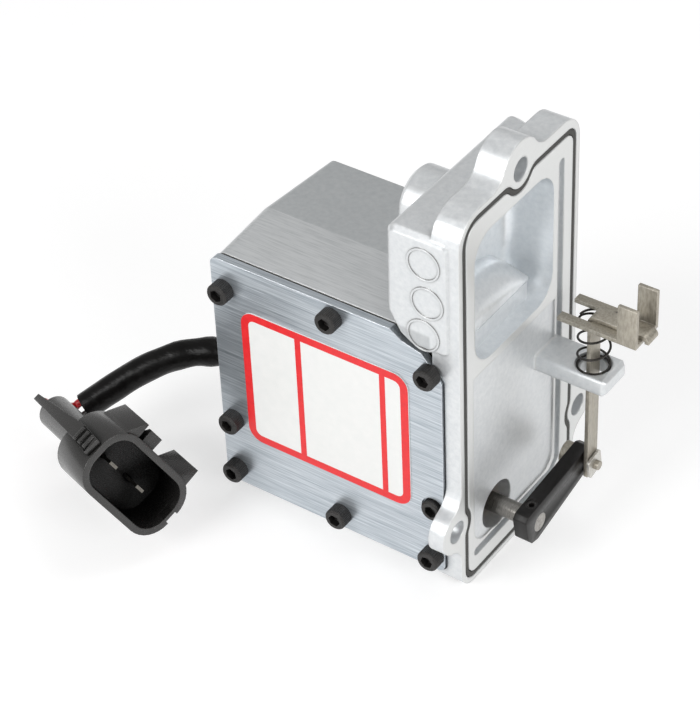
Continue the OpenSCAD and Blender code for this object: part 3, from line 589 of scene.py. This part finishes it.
@dataclass
class Shop:
    """What every sub-assembly works with: the loaded frame and the finishes."""

    frame: dict[str, Any]
    paint: dict[str, Material]

    def node(self, name: str) -> Object:
        """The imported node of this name."""
        return self.frame["nodes"][name]

    def dress(self, **worn: str) -> None:
        """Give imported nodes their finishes.

        Args:
            worn: Finish of each node.
        """
        for name, finish in worn.items():
            obj = self.node(name)
            if not obj.material_slots:
                obj.data.materials.append(self.paint[finish])
            for held in obj.material_slots:
                held.material = self.paint[finish]
            LOG.info("dressed %s as %s", name, finish)

    def piece(
        self,
        bm: BMesh,
        name: str,
        slot: str,
        body: Body,
        replaced: Sequence[str] = (),
        smooth: float = 32.0,
        paint: str = "",
        second: str = "",
    ) -> Object:
        """Turn a bmesh into a finished piece that rides on a body.

        Args:
            bm: The shape, in metres in the part's frame. It is freed.
            name: Name of the piece.
            slot: Slot of the record whose finish it wears.
            body: Body that carries it.
            replaced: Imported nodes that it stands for.
            smooth: Edges sharper than this angle stay sharp, in degrees.
            paint: Finish to wear in place of the slot's own.
            second: Finish of the faces whose material number is SECOND.

        Returns:
            The new object.
        """
        mesh = baked(bm, name)
        stored = mesh.attributes.get("custom_normal")
        if stored:
            mesh.attributes.remove(stored)
        mesh.polygons.foreach_set("use_smooth", [True] * len(mesh.polygons))
        mesh.set_sharp_from_angle(angle=math.radians(smooth))
        for finish in filter(None, (paint or slot, second)):
            mesh.materials.append(self.paint[finish])
        obj = placed(name, mesh)
        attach(obj, body.value)
        if replaced:
            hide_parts(*replaced)
        LOG.info("built %s, %d faces", name, len(mesh.polygons))
        return obj

    def copied(self, node: str) -> BMesh:
        """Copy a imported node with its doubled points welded.

        Args:
            node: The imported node.

        Returns:
            The new shape.
        """
        bm = bmesh.new()
        bm.from_mesh(self.node(node).data)
        bmesh.ops.remove_doubles(bm, verts=bm.verts, dist=WELD * MM)
        return bm

    def softened(self, node: str, width: float, angle: float = 35.0, flat: float = 0.6) -> BMesh:
        """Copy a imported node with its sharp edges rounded.

        Args:
            node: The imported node.
            width: Width of the rounding in millimetres.
            angle: Edges sharper than this are rounded, in degrees.
            flat: Edges blunter than this are dissolved, in degrees.

        Returns:
            The new shape.
        """
        bm = self.copied(node)
        bmesh.ops.dissolve_limit(
            bm, angle_limit=math.radians(flat), verts=bm.verts, edges=bm.edges
        )
        limit = math.radians(angle)
        sharp = [e for e in bm.edges if len(e.link_faces) == 2 and e.calc_face_angle(0) > limit]
        rounded(bm, sharp, width * MM, 2, clamp=True)
        return bm


@dataclass
class Studio:
    """Floor, soft light and a camera at the photograph's viewing angle."""

    eye: Point = (249.49, -403.57, 449.58)
    right: Point = (0.82033, 0.57075, -0.03603)
    down: Point = (0.34051, -0.53809, -0.77105)
    lens: float = 134.39
    sensor: float = 36.0
    # Levels of the world in soft and mirrored light, and of the floor when seen and mirrored.
    fill: float = 0.36
    sky: float = 0.52
    floor_seen: float = 0.53
    floor_glow: float = 0.74
    floor_grey: float = 0.55
    floor_half: float = 3.0
    aim: Point = (-0.03, -0.005, 0.05)
    # Soft boxes: place and size in metres, and power in watts.
    lamps: tuple[tuple[str, Point, float, float], ...] = (
        ("key_softbox", (-0.35, -0.95, 0.6), 0.6, 8.2),
        ("fill_softbox", (0.95, -0.35, 0.5), 0.6, 5.4),
        ("top_softbox", (0.1, 0.45, 1.2), 0.7, 3.5),
    )

    def set_camera(self) -> None:
        """Place the camera."""
        right, up = Vector(self.right), -Vector(self.down)
        back = right.cross(up)
        turn = Matrix((right, up, back)).transposed().to_4x4()
        data = bpy.data.cameras.new("photo_camera")
        data.lens = self.lens
        data.sensor_width = self.sensor
        data.clip_start = 0.01
        cam = placed("photo_camera", data)
        cam.matrix_world = Matrix.Translation(Vector(self.eye) * MM) @ turn
        bpy.context.scene.camera = cam

    def set_world(self) -> None:
        """Give the world a white backdrop and a softer level for the light that it sheds."""
        world = bpy.data.worlds.new("studio_world")
        bpy.context.scene.world = world
        tree = cleared(world)
        path = add_node(tree, "LightPath")
        glossy, seen = path.outputs["Is Glossy Ray"], path.outputs["Is Camera Ray"]
        span = {"To Min": self.fill, "To Max": self.sky}
        sky = add_node(tree, "MapRange", {**span, "Value": glossy})
        level = add_node(tree, "Mix", {"data_type": "FLOAT", 0: seen, 2: sky, 3: 1.0})
        shed = add_node(tree, "Background", {"Color": (1, 1, 1, 1), "Strength": level})
        add_node(tree, "OutputWorld", {"Surface": shed})

    def set_floor(self, level: float) -> None:
        """Lay the pale floor.

        Args:
            level: Height of the floor in metres.
        """
        bm = bmesh.new()
        bmesh.ops.create_grid(bm, x_segments=1, y_segments=1, size=self.floor_half)
        bmesh.ops.translate(bm, vec=(0, 0, level), verts=bm.verts)
        floor = placed("studio_floor", baked(bm, "studio_floor"))
        mat = bpy.data.materials.new("studio_floor_white")
        tree = cleared(mat)
        path = add_node(tree, "LightPath")
        glossy, seen = path.outputs["Is Glossy Ray"], path.outputs["Is Camera Ray"]
        mirrored = add_node(tree, "Math", {"operation": "MULTIPLY", 0: glossy, 1: self.floor_glow})
        glow = add_node(
            tree, "Math", {"operation": "MULTIPLY_ADD", 0: seen, 1: self.floor_seen, 2: mirrored}
        )
        lit = add_node(tree, "BsdfDiffuse", {"Color": (*[self.floor_grey] * 3, 1)})
        own = add_node(tree, "Emission", {"Strength": glow})
        both = add_node(tree, "AddShader", {0: lit, 1: own})
        add_node(tree, "OutputMaterial", {"Surface": both})
        floor.data.materials.append(mat)
        floor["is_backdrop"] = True

    def set_lamps(self) -> None:
        """Hang three soft boxes round the part."""
        for name, place, size, watts in self.lamps:
            data = bpy.data.lights.new(name, "AREA")
            data.size = size
            data.energy = watts
            lamp = placed(name, data)
            lamp.location = place
            way = Vector(self.aim) - Vector(place)
            lamp.rotation_euler = way.to_track_quat("-Z", "Y").to_euler()

    def set_view(self) -> None:
        """Keep colours as they are written."""
        bpy.context.scene.view_settings.view_transform = "Standard"


@dataclass
class Assembly:
    """A sub-assembly of the actuator, which works with the shop."""

    shop: Shop


def smoothed(points: Sequence[Point], steps: int) -> list[Vector]:
    """Run a smooth curve through a route.

    Args:
        points: The route in millimetres.
        steps: Points for each stretch.

    Returns:
        Points of the curve in metres.
    """
    route = [Vector(p) * MM for p in points]
    ends = [route[0], *route, route[-1]]
    curve = []
    for i in range(1, len(ends) - 2):
        a, b, c, d = ends[i - 1 : i + 3]
        for k in range(steps):
            t = k / steps
            bend = (2 * a - 5 * b + 4 * c - d) * t**2 + (3 * b - a - 3 * c + d) * t**3
            curve.append(0.5 * (2 * b + (c - a) * t + bend))
    curve.append(route[-1])
    return curve


@dataclass(frozen=True)
class PlugFrame:
    """Where the plug lies: its mouth in millimetres and its turn in degrees."""

    mouth: Point = (-73.2, -57.6, 23.55)
    turn: Point = (71.9, 59.03, 51.98)

    def matrix(self) -> Matrix:
        """Move from the plug's own millimetres to the part's.

        Returns:
            The turn and then the shift.
        """
        spin = Euler([math.radians(a) for a in self.turn]).to_matrix().to_4x4()
        return Matrix.Translation(self.mouth) @ spin


@dataclass
class Cable(Assembly):
    """Vinyl sleeve with its two leads and the grommet that it leaves the box through."""

    sleeve_d: float = 7.4
    lead_d: float = 2.2
    lead_side: float = 1.7
    way_half: float = 5.5
    rear: float = 36.4
    plug: PlugFrame = PlugFrame()
    # Side that the pair of leads faces, and their gap to the sleeve.
    lead_facing: Point = (0.46, -0.62, 0.64)
    lead_gap: float = 0.05
    # Distances of a lead's points from the sleeve, and of its last points from the plug.
    lead_out: Point = (1.2, 2.4, 5.0)
    lead_in: Point = (6.0, 3.0, 0.05)
    steps: int = 3
    route: tuple[Point, ...] = (
        (-77.5, -8.0, 26.0), (-79.5, -8.0, 26.0), (-81.5, -8.0, 26.0), (-85.0, -8.7, 26.0),
        (-89.0, -10.6, 25.6), (-92.8, -13.0, 24.8), (-96.4, -15.9, 23.4), (-99.8, -19.0, 21.6),
        (-103.0, -22.2, 19.4), (-106.0, -25.5, 16.9), (-108.8, -28.8, 14.5), (-111.2, -32.0, 12.4),
    )

    # Girth of the sleeve along its run: it is creased where it bends.
    girth: tuple[float, ...] = (
        1.0, 1.0, 1.02, 1.06, 1.03, 0.97, 0.94, 0.93, 0.95, 1.02, 1.07, 1.05, 0.99, 0.97, 0.99,
        1.02, 1.03, 1.0, 0.98, 0.98, 1.0, 1.01, 1.01, 1.0, 0.99, 0.99, 1.0, 1.01, 1.01, 1.0,
    )

    def lead_route(self, side: float) -> list[Point]:
        """Route of one lead.

        Args:
            side: -1 for the red lead, 1 for the black one.

        Returns:
            Its points in millimetres.
        """
        end = Vector(self.route[-1])
        way = (end - Vector(self.route[-2])).normalized()
        across = Vector(self.lead_facing).cross(way).normalized()
        start = end + self.lead_gap * way + side * self.lead_side * across
        near, straight, pull = (start + d * way for d in self.lead_out)
        plug = self.plug.matrix()
        far, out, goal = (
            plug @ Vector((side * self.way_half, 0, -self.rear - d)) for d in self.lead_in
        )
        points = [start, near, straight, (pull + far) / 2, far, out, goal]
        return [tuple(p) for p in points]

    def tube(self, name: str, slot: str, points: list[Vector], size: float) -> Object:
        """Draw a round cord.

        Args:
            name: Name of the piece.
            slot: Slot of its finish.
            points: Points of its run in metres.
            size: Diameter in millimetres.

        Returns:
            The curve.
        """
        data = bpy.data.curves.new(name, "CURVE")
        data.dimensions = "3D"
        data.bevel_depth = 1.0
        data.bevel_resolution = 6
        data.use_fill_caps = True
        spline = data.splines.new("POLY")
        spline.points.add(len(points) - 1)
        for knot, place in zip(spline.points, points):
            knot.co = (*place, 1.0)
            knot.radius = size / 2 * MM
        data.materials.append(self.shop.paint[slot])
        obj = placed(name, data)
        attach(obj, Body.HOUSING.value)
        LOG.info("drew %s", name)
        return obj

    def build(self, carried: list[Object]) -> None:
        """Args:
            carried: Pieces of the connector on the cable's end. Not used.
        """
        for name, side in (("lead_red", -1.0), ("lead_black", 1.0)):
            run = smoothed(self.lead_route(side), self.steps)
            lead = self.tube(f"{name}_wire", name, run, self.lead_d)
            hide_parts(name)
        run = smoothed(self.route, self.steps)
        sleeve = self.tube("cable_sleeve_vinyl", "sleeve_vinyl", run, self.sleeve_d)
        for knot, size in zip(sleeve.data.splines[0].points, self.girth):
            knot.radius *= size
        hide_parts("cable_sleeve")

    def dress(self) -> None:
        """Finish the grommet."""
        self.shop.dress(cable_gland="gland_rubber")


@dataclass
class Connector(Assembly):
    """Two-way sealed plug on the cable's end."""

    rounding: float = 0.35
    strap_rounding: float = 0.25
    plug: PlugFrame = PlugFrame()
    # Inner skin behind the key step in the rim: its middle and size, seen from the mouth.
    skin_mid: Point = (14.6, 0.0, -1.5)
    skin_size: Point = (0.9, 3.3, 2.98)

    def back_step(self, bm: BMesh) -> None:
        """Close the key step on its inside, so that it only notches the rim's outer half.

        Args:
            bm: The shell in metres.
        """
        skin = bmesh.ops.create_cube(bm, size=1.0)["verts"]
        block = Matrix.Translation(self.skin_mid) @ Matrix.Diagonal((*self.skin_size, 1.0))
        move = Matrix.Scale(MM, 4) @ self.plug.matrix() @ block
        bmesh.ops.transform(bm, matrix=move, verts=skin)

    def build(self) -> list[Object]:
        """Round the moulded pieces.

        Returns:
            Pieces of the connector.
        """
        bm = self.shop.softened("connector_shell", self.rounding)
        self.back_step(bm)
        shell = self.shop.piece(
            bm, "connector_shell_moulding", "connector_nylon", Body.HOUSING, ["connector_shell"]
        )
        bm = self.shop.softened("lock_strap", self.strap_rounding)
        strap = self.shop.piece(
            bm, "lock_strap_moulding", "connector_nylon", Body.HOUSING, ["lock_strap"]
        )
        return [shell, strap, self.shop.node("connector_terminals"), self.shop.node("wire_seals")]

    def dress(self) -> None:
        """Finish the blades and wire seals."""
        self.shop.dress(connector_terminals="tin_plate", wire_seals="gland_rubber")


@dataclass
class Housing(Assembly):
    """Cast box with its lugged flange, and the seal in its face."""

    smooth: float = 28.0
    # Far end of the neck: its rear, front, lowest height and start, and how far it is drawn out.
    neck_end: tuple[float, float, float, float, float] = (-20.5, -7.6, 76.0, 18.0, 2.9)
    # Pocket in the mating face: its low and high corners.
    pocket_low: Point = (-13.7, -19.4, 65.2)
    pocket_high: Point = (0.05, 14.6, 102.0)
    # Depths within which the mating face and the pocket's rim lie.
    face_depth: float = 0.05
    rim_depth: float = 0.5
    # Depths down the pocket's walls, with the draw of the label side and of the other sides.
    pocket_steps: tuple[Point, ...] = (
        (3.0, 0.6, 0.15), (6.0, 1.2, 0.3), (9.0, 2.2, 0.55), (10.8, 3.4, 1.0),
        (11.8, 4.6, 1.7), (12.35, 5.8, 2.7), (12.5, 7.0, 3.8),
    )
    ridge: Pair = (-4.0, 70.4)
    nose_sides: int = 48
    # Nose of the mound: place along the pocket, rise over the ridge and reach from the floor.
    nose: tuple[Point, ...] = (
        (-20.0, 9.0, 8.5), (0.0, 8.6, 8.5), (4.0, 7.6, 8.5),
        (7.0, 6.0, 8.5), (9.5, 3.6, 8.4), (11.0, 1.2, 8.0),
    )
    # Foot of the mound: its size, its middle from the ridge, and where its far end starts.
    foot_size: Point = (8.6, 31.0, 6.2)
    foot_mid: Point = (-4.2, -4.5, -2.9)
    foot_end: float = 10.0
    # Roundings of the far end and of the ledge: width and segments.
    foot_rounding: tuple[tuple[float, int], ...] = ((2.2, 5), (0.4, 3))

    def stretch_neck(self, bm: BMesh) -> None:
        """Draw the neck's far end out to the flange's far side.

        Args:
            bm: The casting in metres.
        """
        rear, front, low, start, more = (q * MM for q in self.neck_end)
        end = [v for v in bm.verts if rear < v.co.x < front and v.co.z > low and v.co.y > start]
        bmesh.ops.translate(bm, vec=(0, more, 0), verts=end)

    def sink_pocket(self, bm: BMesh) -> None:
        """Sink the pocket again with round floor edges and a die-cast skin whose bright tone is
        painted bounce light.

        Args:
            bm: The casting in metres.
        """
        low, high = Vector(self.pocket_low) * MM, Vector(self.pocket_high) * MM
        skin, lip = -self.face_depth * MM, -self.rim_depth * MM

        def within(v: BMVert) -> bool:
            """True where a vertex lies in the pocket's box."""
            return all(a <= c <= b for a, c, b in zip(low, v.co, high))

        old = [
            f
            for f in bm.faces
            if all(within(v) for v in f.verts) and f.calc_center_median().x < skin
        ]
        bmesh.ops.delete(bm, geom=old, context="FACES")
        cut = [e for e in bm.edges if e.is_boundary and all(within(v) for v in e.verts)]
        rim = [e for e in cut if all(v.co.x > lip for v in e.verts)]
        bmesh.ops.holes_fill(bm, edges=[e for e in cut if e not in set(rim)])
        corners = {v for e in rim for v in e.verts}
        box = [(min(v.co[k] for v in corners), max(v.co[k] for v in corners)) for k in (1, 2)]
        mid = Vector((0, sum(box[0]) / 2, sum(box[1]) / 2))
        wide, tall = box[0][1] - box[0][0], box[1][1] - box[1][0]
        turned = Matrix.Identity(4)
        edges = rim
        for depth, label_side, others in self.pocket_steps:
            verts, edges, wall = drawn_out(bm, edges)
            for face in wall:
                face.material_index = SECOND
            near = (wide - (label_side + others) * MM) / wide
            far = (tall - 2 * others * MM) / tall
            shift = Vector((-depth, (label_side - others) / 2, 0)) * MM
            scale = Matrix.Diagonal((1.0, near, far, 1.0))
            goal = Matrix.Translation(mid + shift) @ scale @ Matrix.Translation(-mid)
            bmesh.ops.transform(bm, matrix=goal @ turned.inverted(), verts=verts)
            turned = goal
        for face in bmesh.ops.edgeloop_fill(bm, edges=edges)["faces"]:
            face.material_index = SECOND
        bmesh.ops.recalc_face_normals(bm, faces=bm.faces)

    def build_mound(self) -> None:
        """Cast the mound in the pocket: a nose over a straight ridge with a flat front."""
        bm = bmesh.new()
        x, z = self.ridge
        start, rise, reach = self.nose[0]
        ring = bmesh.ops.create_circle(
            bm, cap_ends=True, radius=1.0, segments=self.nose_sides
        )["verts"]
        root = Vector((x - reach, 0, z))
        place = Matrix.Translation((x - reach, start, z)) @ STAND
        size = Matrix.Diagonal((reach, rise, 1.0, 1.0))
        bmesh.ops.transform(bm, matrix=place @ size, verts=ring)
        edges = list(bm.edges)
        for along, up, out in self.nose[1:]:
            verts, edges, _ = drawn_out(bm, edges)
            scale = Matrix.Diagonal((out / reach, 1.0, up / rise, 1.0))
            goal = Matrix.Translation(root + Vector((0, along - start, 0)))
            bmesh.ops.transform(bm, matrix=goal @ scale @ Matrix.Translation(-root), verts=verts)
            start, rise, reach = along, up, out
        bmesh.ops.edgeloop_fill(bm, edges=edges)
        foot = bmesh.ops.create_cube(bm, size=1.0)["verts"]
        bmesh.ops.scale(bm, vec=self.foot_size, verts=foot)
        bmesh.ops.translate(bm, vec=Vector((x, 0, z)) + Vector(self.foot_mid), verts=foot)
        sides = {e for v in foot for e in v.link_edges if len(set(e.verts) & set(foot)) == 2}
        far = [e for e in sides if all(v.co.y > self.foot_end for v in e.verts)]
        ledge = [e for e in sides if all(v.co.x > x and v.co.z > z for v in e.verts)]
        for picked, (width, count) in zip((far, ledge), self.foot_rounding):
            rounded(bm, [e for e in picked if e.is_valid], width, count)
        bmesh.ops.recalc_face_normals(bm, faces=bm.faces)
        bmesh.ops.scale(bm, vec=(MM, MM, MM), verts=bm.verts)
        # The mound wears the pocket's tone, which is painted bounce light.
        self.shop.piece(bm, "pocket_mound_cast", "cast_aluminium", Body.HOUSING, paint="die_skin_painted_bounce")

    def build(self) -> None:
        """Give the casting a skin that shades smoothly round its fillets, pocket and mound."""
        bm = self.shop.copied("housing")
        self.stretch_neck(bm)
        self.sink_pocket(bm)
        # The pocket's walls and floor wear a brighter tone, which is painted bounce light.
        self.shop.piece(
            bm,
            "housing_casting",
            "cast_aluminium",
            Body.HOUSING,
            ["housing"],
            smooth=self.smooth,
            second="die_skin_painted_bounce",
        )
        self.build_mound()

    def dress(self) -> None:
        """Finish the seal in the face."""
        self.shop.dress(face_seal="seal_rubber")


@dataclass
class Cover(Assembly):
    """Brushed cover plate with its gasket, label and socket screws."""

    screws: tuple[Pair, ...] = (
        (-66.3, 66.0), (-34.7, 70.9), (-7.6, 66.0), (-66.3, 25.2),
        (-66.3, 9.2), (-34.7, 9.2), (-7.6, 9.2), (-7.6, 24.0),
    )
    head_d: float = 5.74
    head_h: float = 3.5
    hex_across: float = 3.0
    hex_deep: float = 1.9
    # Knurl: its ribs, and the width of its valleys as a share of the head's.
    ribs: int = 36
    knurl: float = 0.965
    # Upper courses of a head: rise, and width as a share of the course below.
    crown: tuple[Pair, ...] = ((0.05, 0.985), (0.4, 0.87))
    spin_step: float = 17.0
    smooth: float = 28.0
    # Number of the screw that sits deeper, and by how much.
    sunk: int = 7
    sink: float = 2.2
    front: float = -26.3
    label_t: float = 0.3
    label_mid: Pair = (-37.75, 41.65)
    label_size: Pair = (48.0, 40.5)
    label_r: float = 4.0
    corner_steps: int = 8
    ink_t: float = 0.03
    border: float = 2.2
    bars: tuple[Pair, ...] = ((-45.1, 1.7), (-21.0, 1.6))

    def screw(self) -> BMesh:
        """Model one socket head, its seat at the origin and its top on +Z.

        Returns:
            The head's shape in millimetres.
        """
        bm = bmesh.new()
        r = self.head_d / 2
        made = bmesh.ops.create_circle(bm, cap_ends=False, radius=r, segments=2 * self.ribs)
        ring = made["verts"]
        # Every other point of the ring stands in by the depth of a rib.
        bmesh.ops.scale(bm, vec=(self.knurl, self.knurl, 1.0), verts=ring[::2])
        edges = list(bm.edges)
        straight = self.head_h - sum(rise for rise, _ in self.crown)
        for rise, size in ((straight, 1.0), *self.crown):
            verts, edges, _ = drawn_out(bm, edges)
            bmesh.ops.translate(bm, vec=(0, 0, rise), verts=verts)
            bmesh.ops.scale(bm, vec=(size, size, 1.0), verts=verts)
        socket_r = self.hex_across / 2 / math.cos(math.pi / 6)
        hole = bmesh.ops.create_circle(bm, cap_ends=False, radius=socket_r, segments=6)["verts"]
        bmesh.ops.translate(bm, vec=(0, 0, self.head_h), verts=hole)
        rim = list({e for v in hole for e in v.link_edges})
        bmesh.ops.bridge_loops(bm, edges=edges + rim)
        verts, edges, _ = drawn_out(bm, rim)
        bmesh.ops.translate(bm, vec=(0, 0, -self.hex_deep), verts=verts)
        bmesh.ops.edgeloop_fill(bm, edges=edges)
        bmesh.ops.recalc_face_normals(bm, faces=bm.faces)
        return bm

    def build_screws(self) -> None:
        """Set a socket screw in each hole."""
        mould = baked(self.screw(), "socket_head")
        bm = bmesh.new()
        for i, (x, z) in enumerate(self.screws):
            before = len(bm.verts)
            bm.from_mesh(mould)
            bm.verts.ensure_lookup_table()
            seat = self.front + (self.sink if i == self.sunk else 0.0)
            spin = Matrix.Rotation(math.radians(self.spin_step * i), 4, "Z")
            move = Matrix.Scale(MM, 4) @ Matrix.Translation((x, seat, z)) @ STAND @ spin
            bmesh.ops.transform(bm, matrix=move, verts=bm.verts[before:])
        bpy.data.meshes.remove(mould)
        self.shop.piece(
            bm, "cover_screw_heads", "black_oxide", Body.HOUSING, ["cover_screws"], self.smooth
        )

    def build_label(self) -> None:
        """Print the red border and two bars on the bare label."""
        wide, tall = self.label_size
        mid_x, mid_z = self.label_mid
        bm = bmesh.new()
        bmesh.ops.create_grid(bm, x_segments=1, y_segments=1, size=0.5)
        bmesh.ops.scale(bm, vec=(wide, tall, 1.0), verts=bm.verts)
        rounded(bm, bm.verts[:], self.label_r, self.corner_steps, "VERTICES")
        bmesh.ops.inset_region(
            bm, faces=bm.faces[:], thickness=self.border, use_boundary=True, use_even_offset=True
        )
        middle = max(bm.faces, key=lambda f: f.calc_area())
        bmesh.ops.delete(bm, geom=[middle], context="FACES")
        for x, w in self.bars:
            bar = bmesh.ops.create_grid(bm, x_segments=1, y_segments=1, size=0.5)["verts"]
            bmesh.ops.scale(bm, vec=(w, tall - 2 * self.border, 1.0), verts=bar)
            bmesh.ops.translate(bm, vec=(x - mid_x, 0, 0), verts=bar)
        front = self.front - (self.label_t + self.ink_t)
        move = Matrix.Scale(MM, 4) @ Matrix.Translation((mid_x, front, mid_z)) @ STAND
        bmesh.ops.transform(bm, matrix=move, verts=bm.verts)
        self.shop.piece(bm, "label_red_print", "label", Body.HOUSING, paint="print_red")

    def build(self) -> None:
        """Build the screws and the label's print."""
        self.build_screws()
        self.build_label()

    def dress(self) -> None:
        """Finish the plate, its gasket and the label film."""
        self.shop.dress(cover_plate="brushed_plate", cover_gasket="seal_rubber", nameplate="label")


@dataclass
class ShaftGroup(Assembly):
    """Output shaft with its bushings, lever, pin and clip."""

    rounding: float = 0.35

    def build(self) -> None:
        """Round the lever."""
        bm = self.shop.softened("lever_arm", self.rounding)
        self.shop.piece(bm, "lever_arm_enamelled", "lever_black", Body.SHAFT, ["lever_arm"])

    def dress(self) -> None:
        """Finish the shaft, bushings, pin, clip and set screw."""
        self.shop.dress(
            output_shaft="shaft_steel", flange_bushing="bronze", end_bushing="bronze",
            lever_set_screw="black_oxide", pivot_pin="link_sheet", retaining_clip="clip_zinc",
        )


@dataclass
class LinkGroup(Assembly):
    """Link strip, fork and the spring under the fork."""

    spring_d: float = 8.4
    wire: float = 0.6
    # Turns in all, closed turns at each end, and the pitch of those in wires.
    turns: float = 4.5
    dead: float = 1.0
    dead_pitch: float = 1.05
    sides: int = 12
    steps: int = 40
    smooth: float = 50.0
    rounding: float = 0.14

    def build_spring(self) -> None:
        """Wind the spring between its seat and the fork."""
        low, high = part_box("link_spring")
        mid = Vector(((low[0] + high[0]) / 2, (low[1] + high[1]) / 2, low[2] + self.wire / 2 * MM))
        rise = high[2] - low[2] - self.wire * MM
        r = (self.spring_d - self.wire) / 2 * MM
        bm = bmesh.new()
        ring = bmesh.ops.create_circle(
            bm, cap_ends=False, radius=self.wire / 2 * MM, segments=self.sides
        )["verts"]
        start = Matrix.Translation(mid + Vector((r, 0, 0))) @ STAND
        bmesh.ops.transform(bm, matrix=start, verts=ring)
        edges = list(bm.edges)
        bmesh.ops.edgeloop_fill(bm, edges=edges)
        live = self.turns - 2 * self.dead
        ends = self.wire * self.dead_pitch * MM * self.dead
        for angle, climb in ((self.dead, ends), (live, rise - 2 * ends), (self.dead, ends)):
            count = int(self.steps * angle)
            grown = bmesh.ops.spin(
                bm, geom=edges, cent=mid, axis=(0, 0, 1), dvec=(0, 0, climb / count),
                angle=angle * math.tau, steps=count, use_merge=False, use_duplicate=False,
            )["geom_last"]
            edges = [e for e in grown if isinstance(e, BMEdge)]
        bmesh.ops.edgeloop_fill(bm, edges=edges)
        bmesh.ops.recalc_face_normals(bm, faces=bm.faces)
        spring = self.shop.piece(
            bm, "link_spring_wire", "spring_black", Body.HOUSING, ["link_spring"], self.smooth
        )
        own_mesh(spring)

    def build(self) -> None:
        """Round the sheet metal and wind the spring."""
        for node in ("link_strip", "link_fork"):
            bm = self.shop.softened(node, self.rounding)
            self.shop.piece(bm, f"{node}_sheet", "link_sheet", Body.LINK, [node])
        self.build_spring()


@dataclass
class Solenoid(Assembly):
    """Core, coil, armature and springs inside the box."""

    def dress(self) -> None:
        """Finish the pieces behind the cover."""
        self.shop.dress(
            armature="soft_iron", stator_core="soft_iron", core_screws="black_oxide",
            coil_bobbin="bobbin_nylon", coil_winding="copper_wire", return_spring="spring_black",
            stop_pin="shaft_steel",
        )


def main() -> None:
    """Build the scene piece by piece."""
    logging.basicConfig(level=logging.INFO, format="%(name)s: %(message)s")
    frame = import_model()
    studio = Studio()
    studio.set_camera()
    shop = Shop(frame, Palette().make())
    connector, cable = Connector(shop), Cable(shop)
    cable.build(connector.build())
    cable.dress()
    connector.dress()
    for group in (Housing(shop), Cover(shop), ShaftGroup(shop)):
        group.build()
        group.dress()
    LinkGroup(shop).build()
    Solenoid(shop).dress()
    studio.set_world()
    studio.set_floor(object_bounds()[0][2])
    studio.set_lamps()
    studio.set_view()


if __name__ == "__main__":
    main()
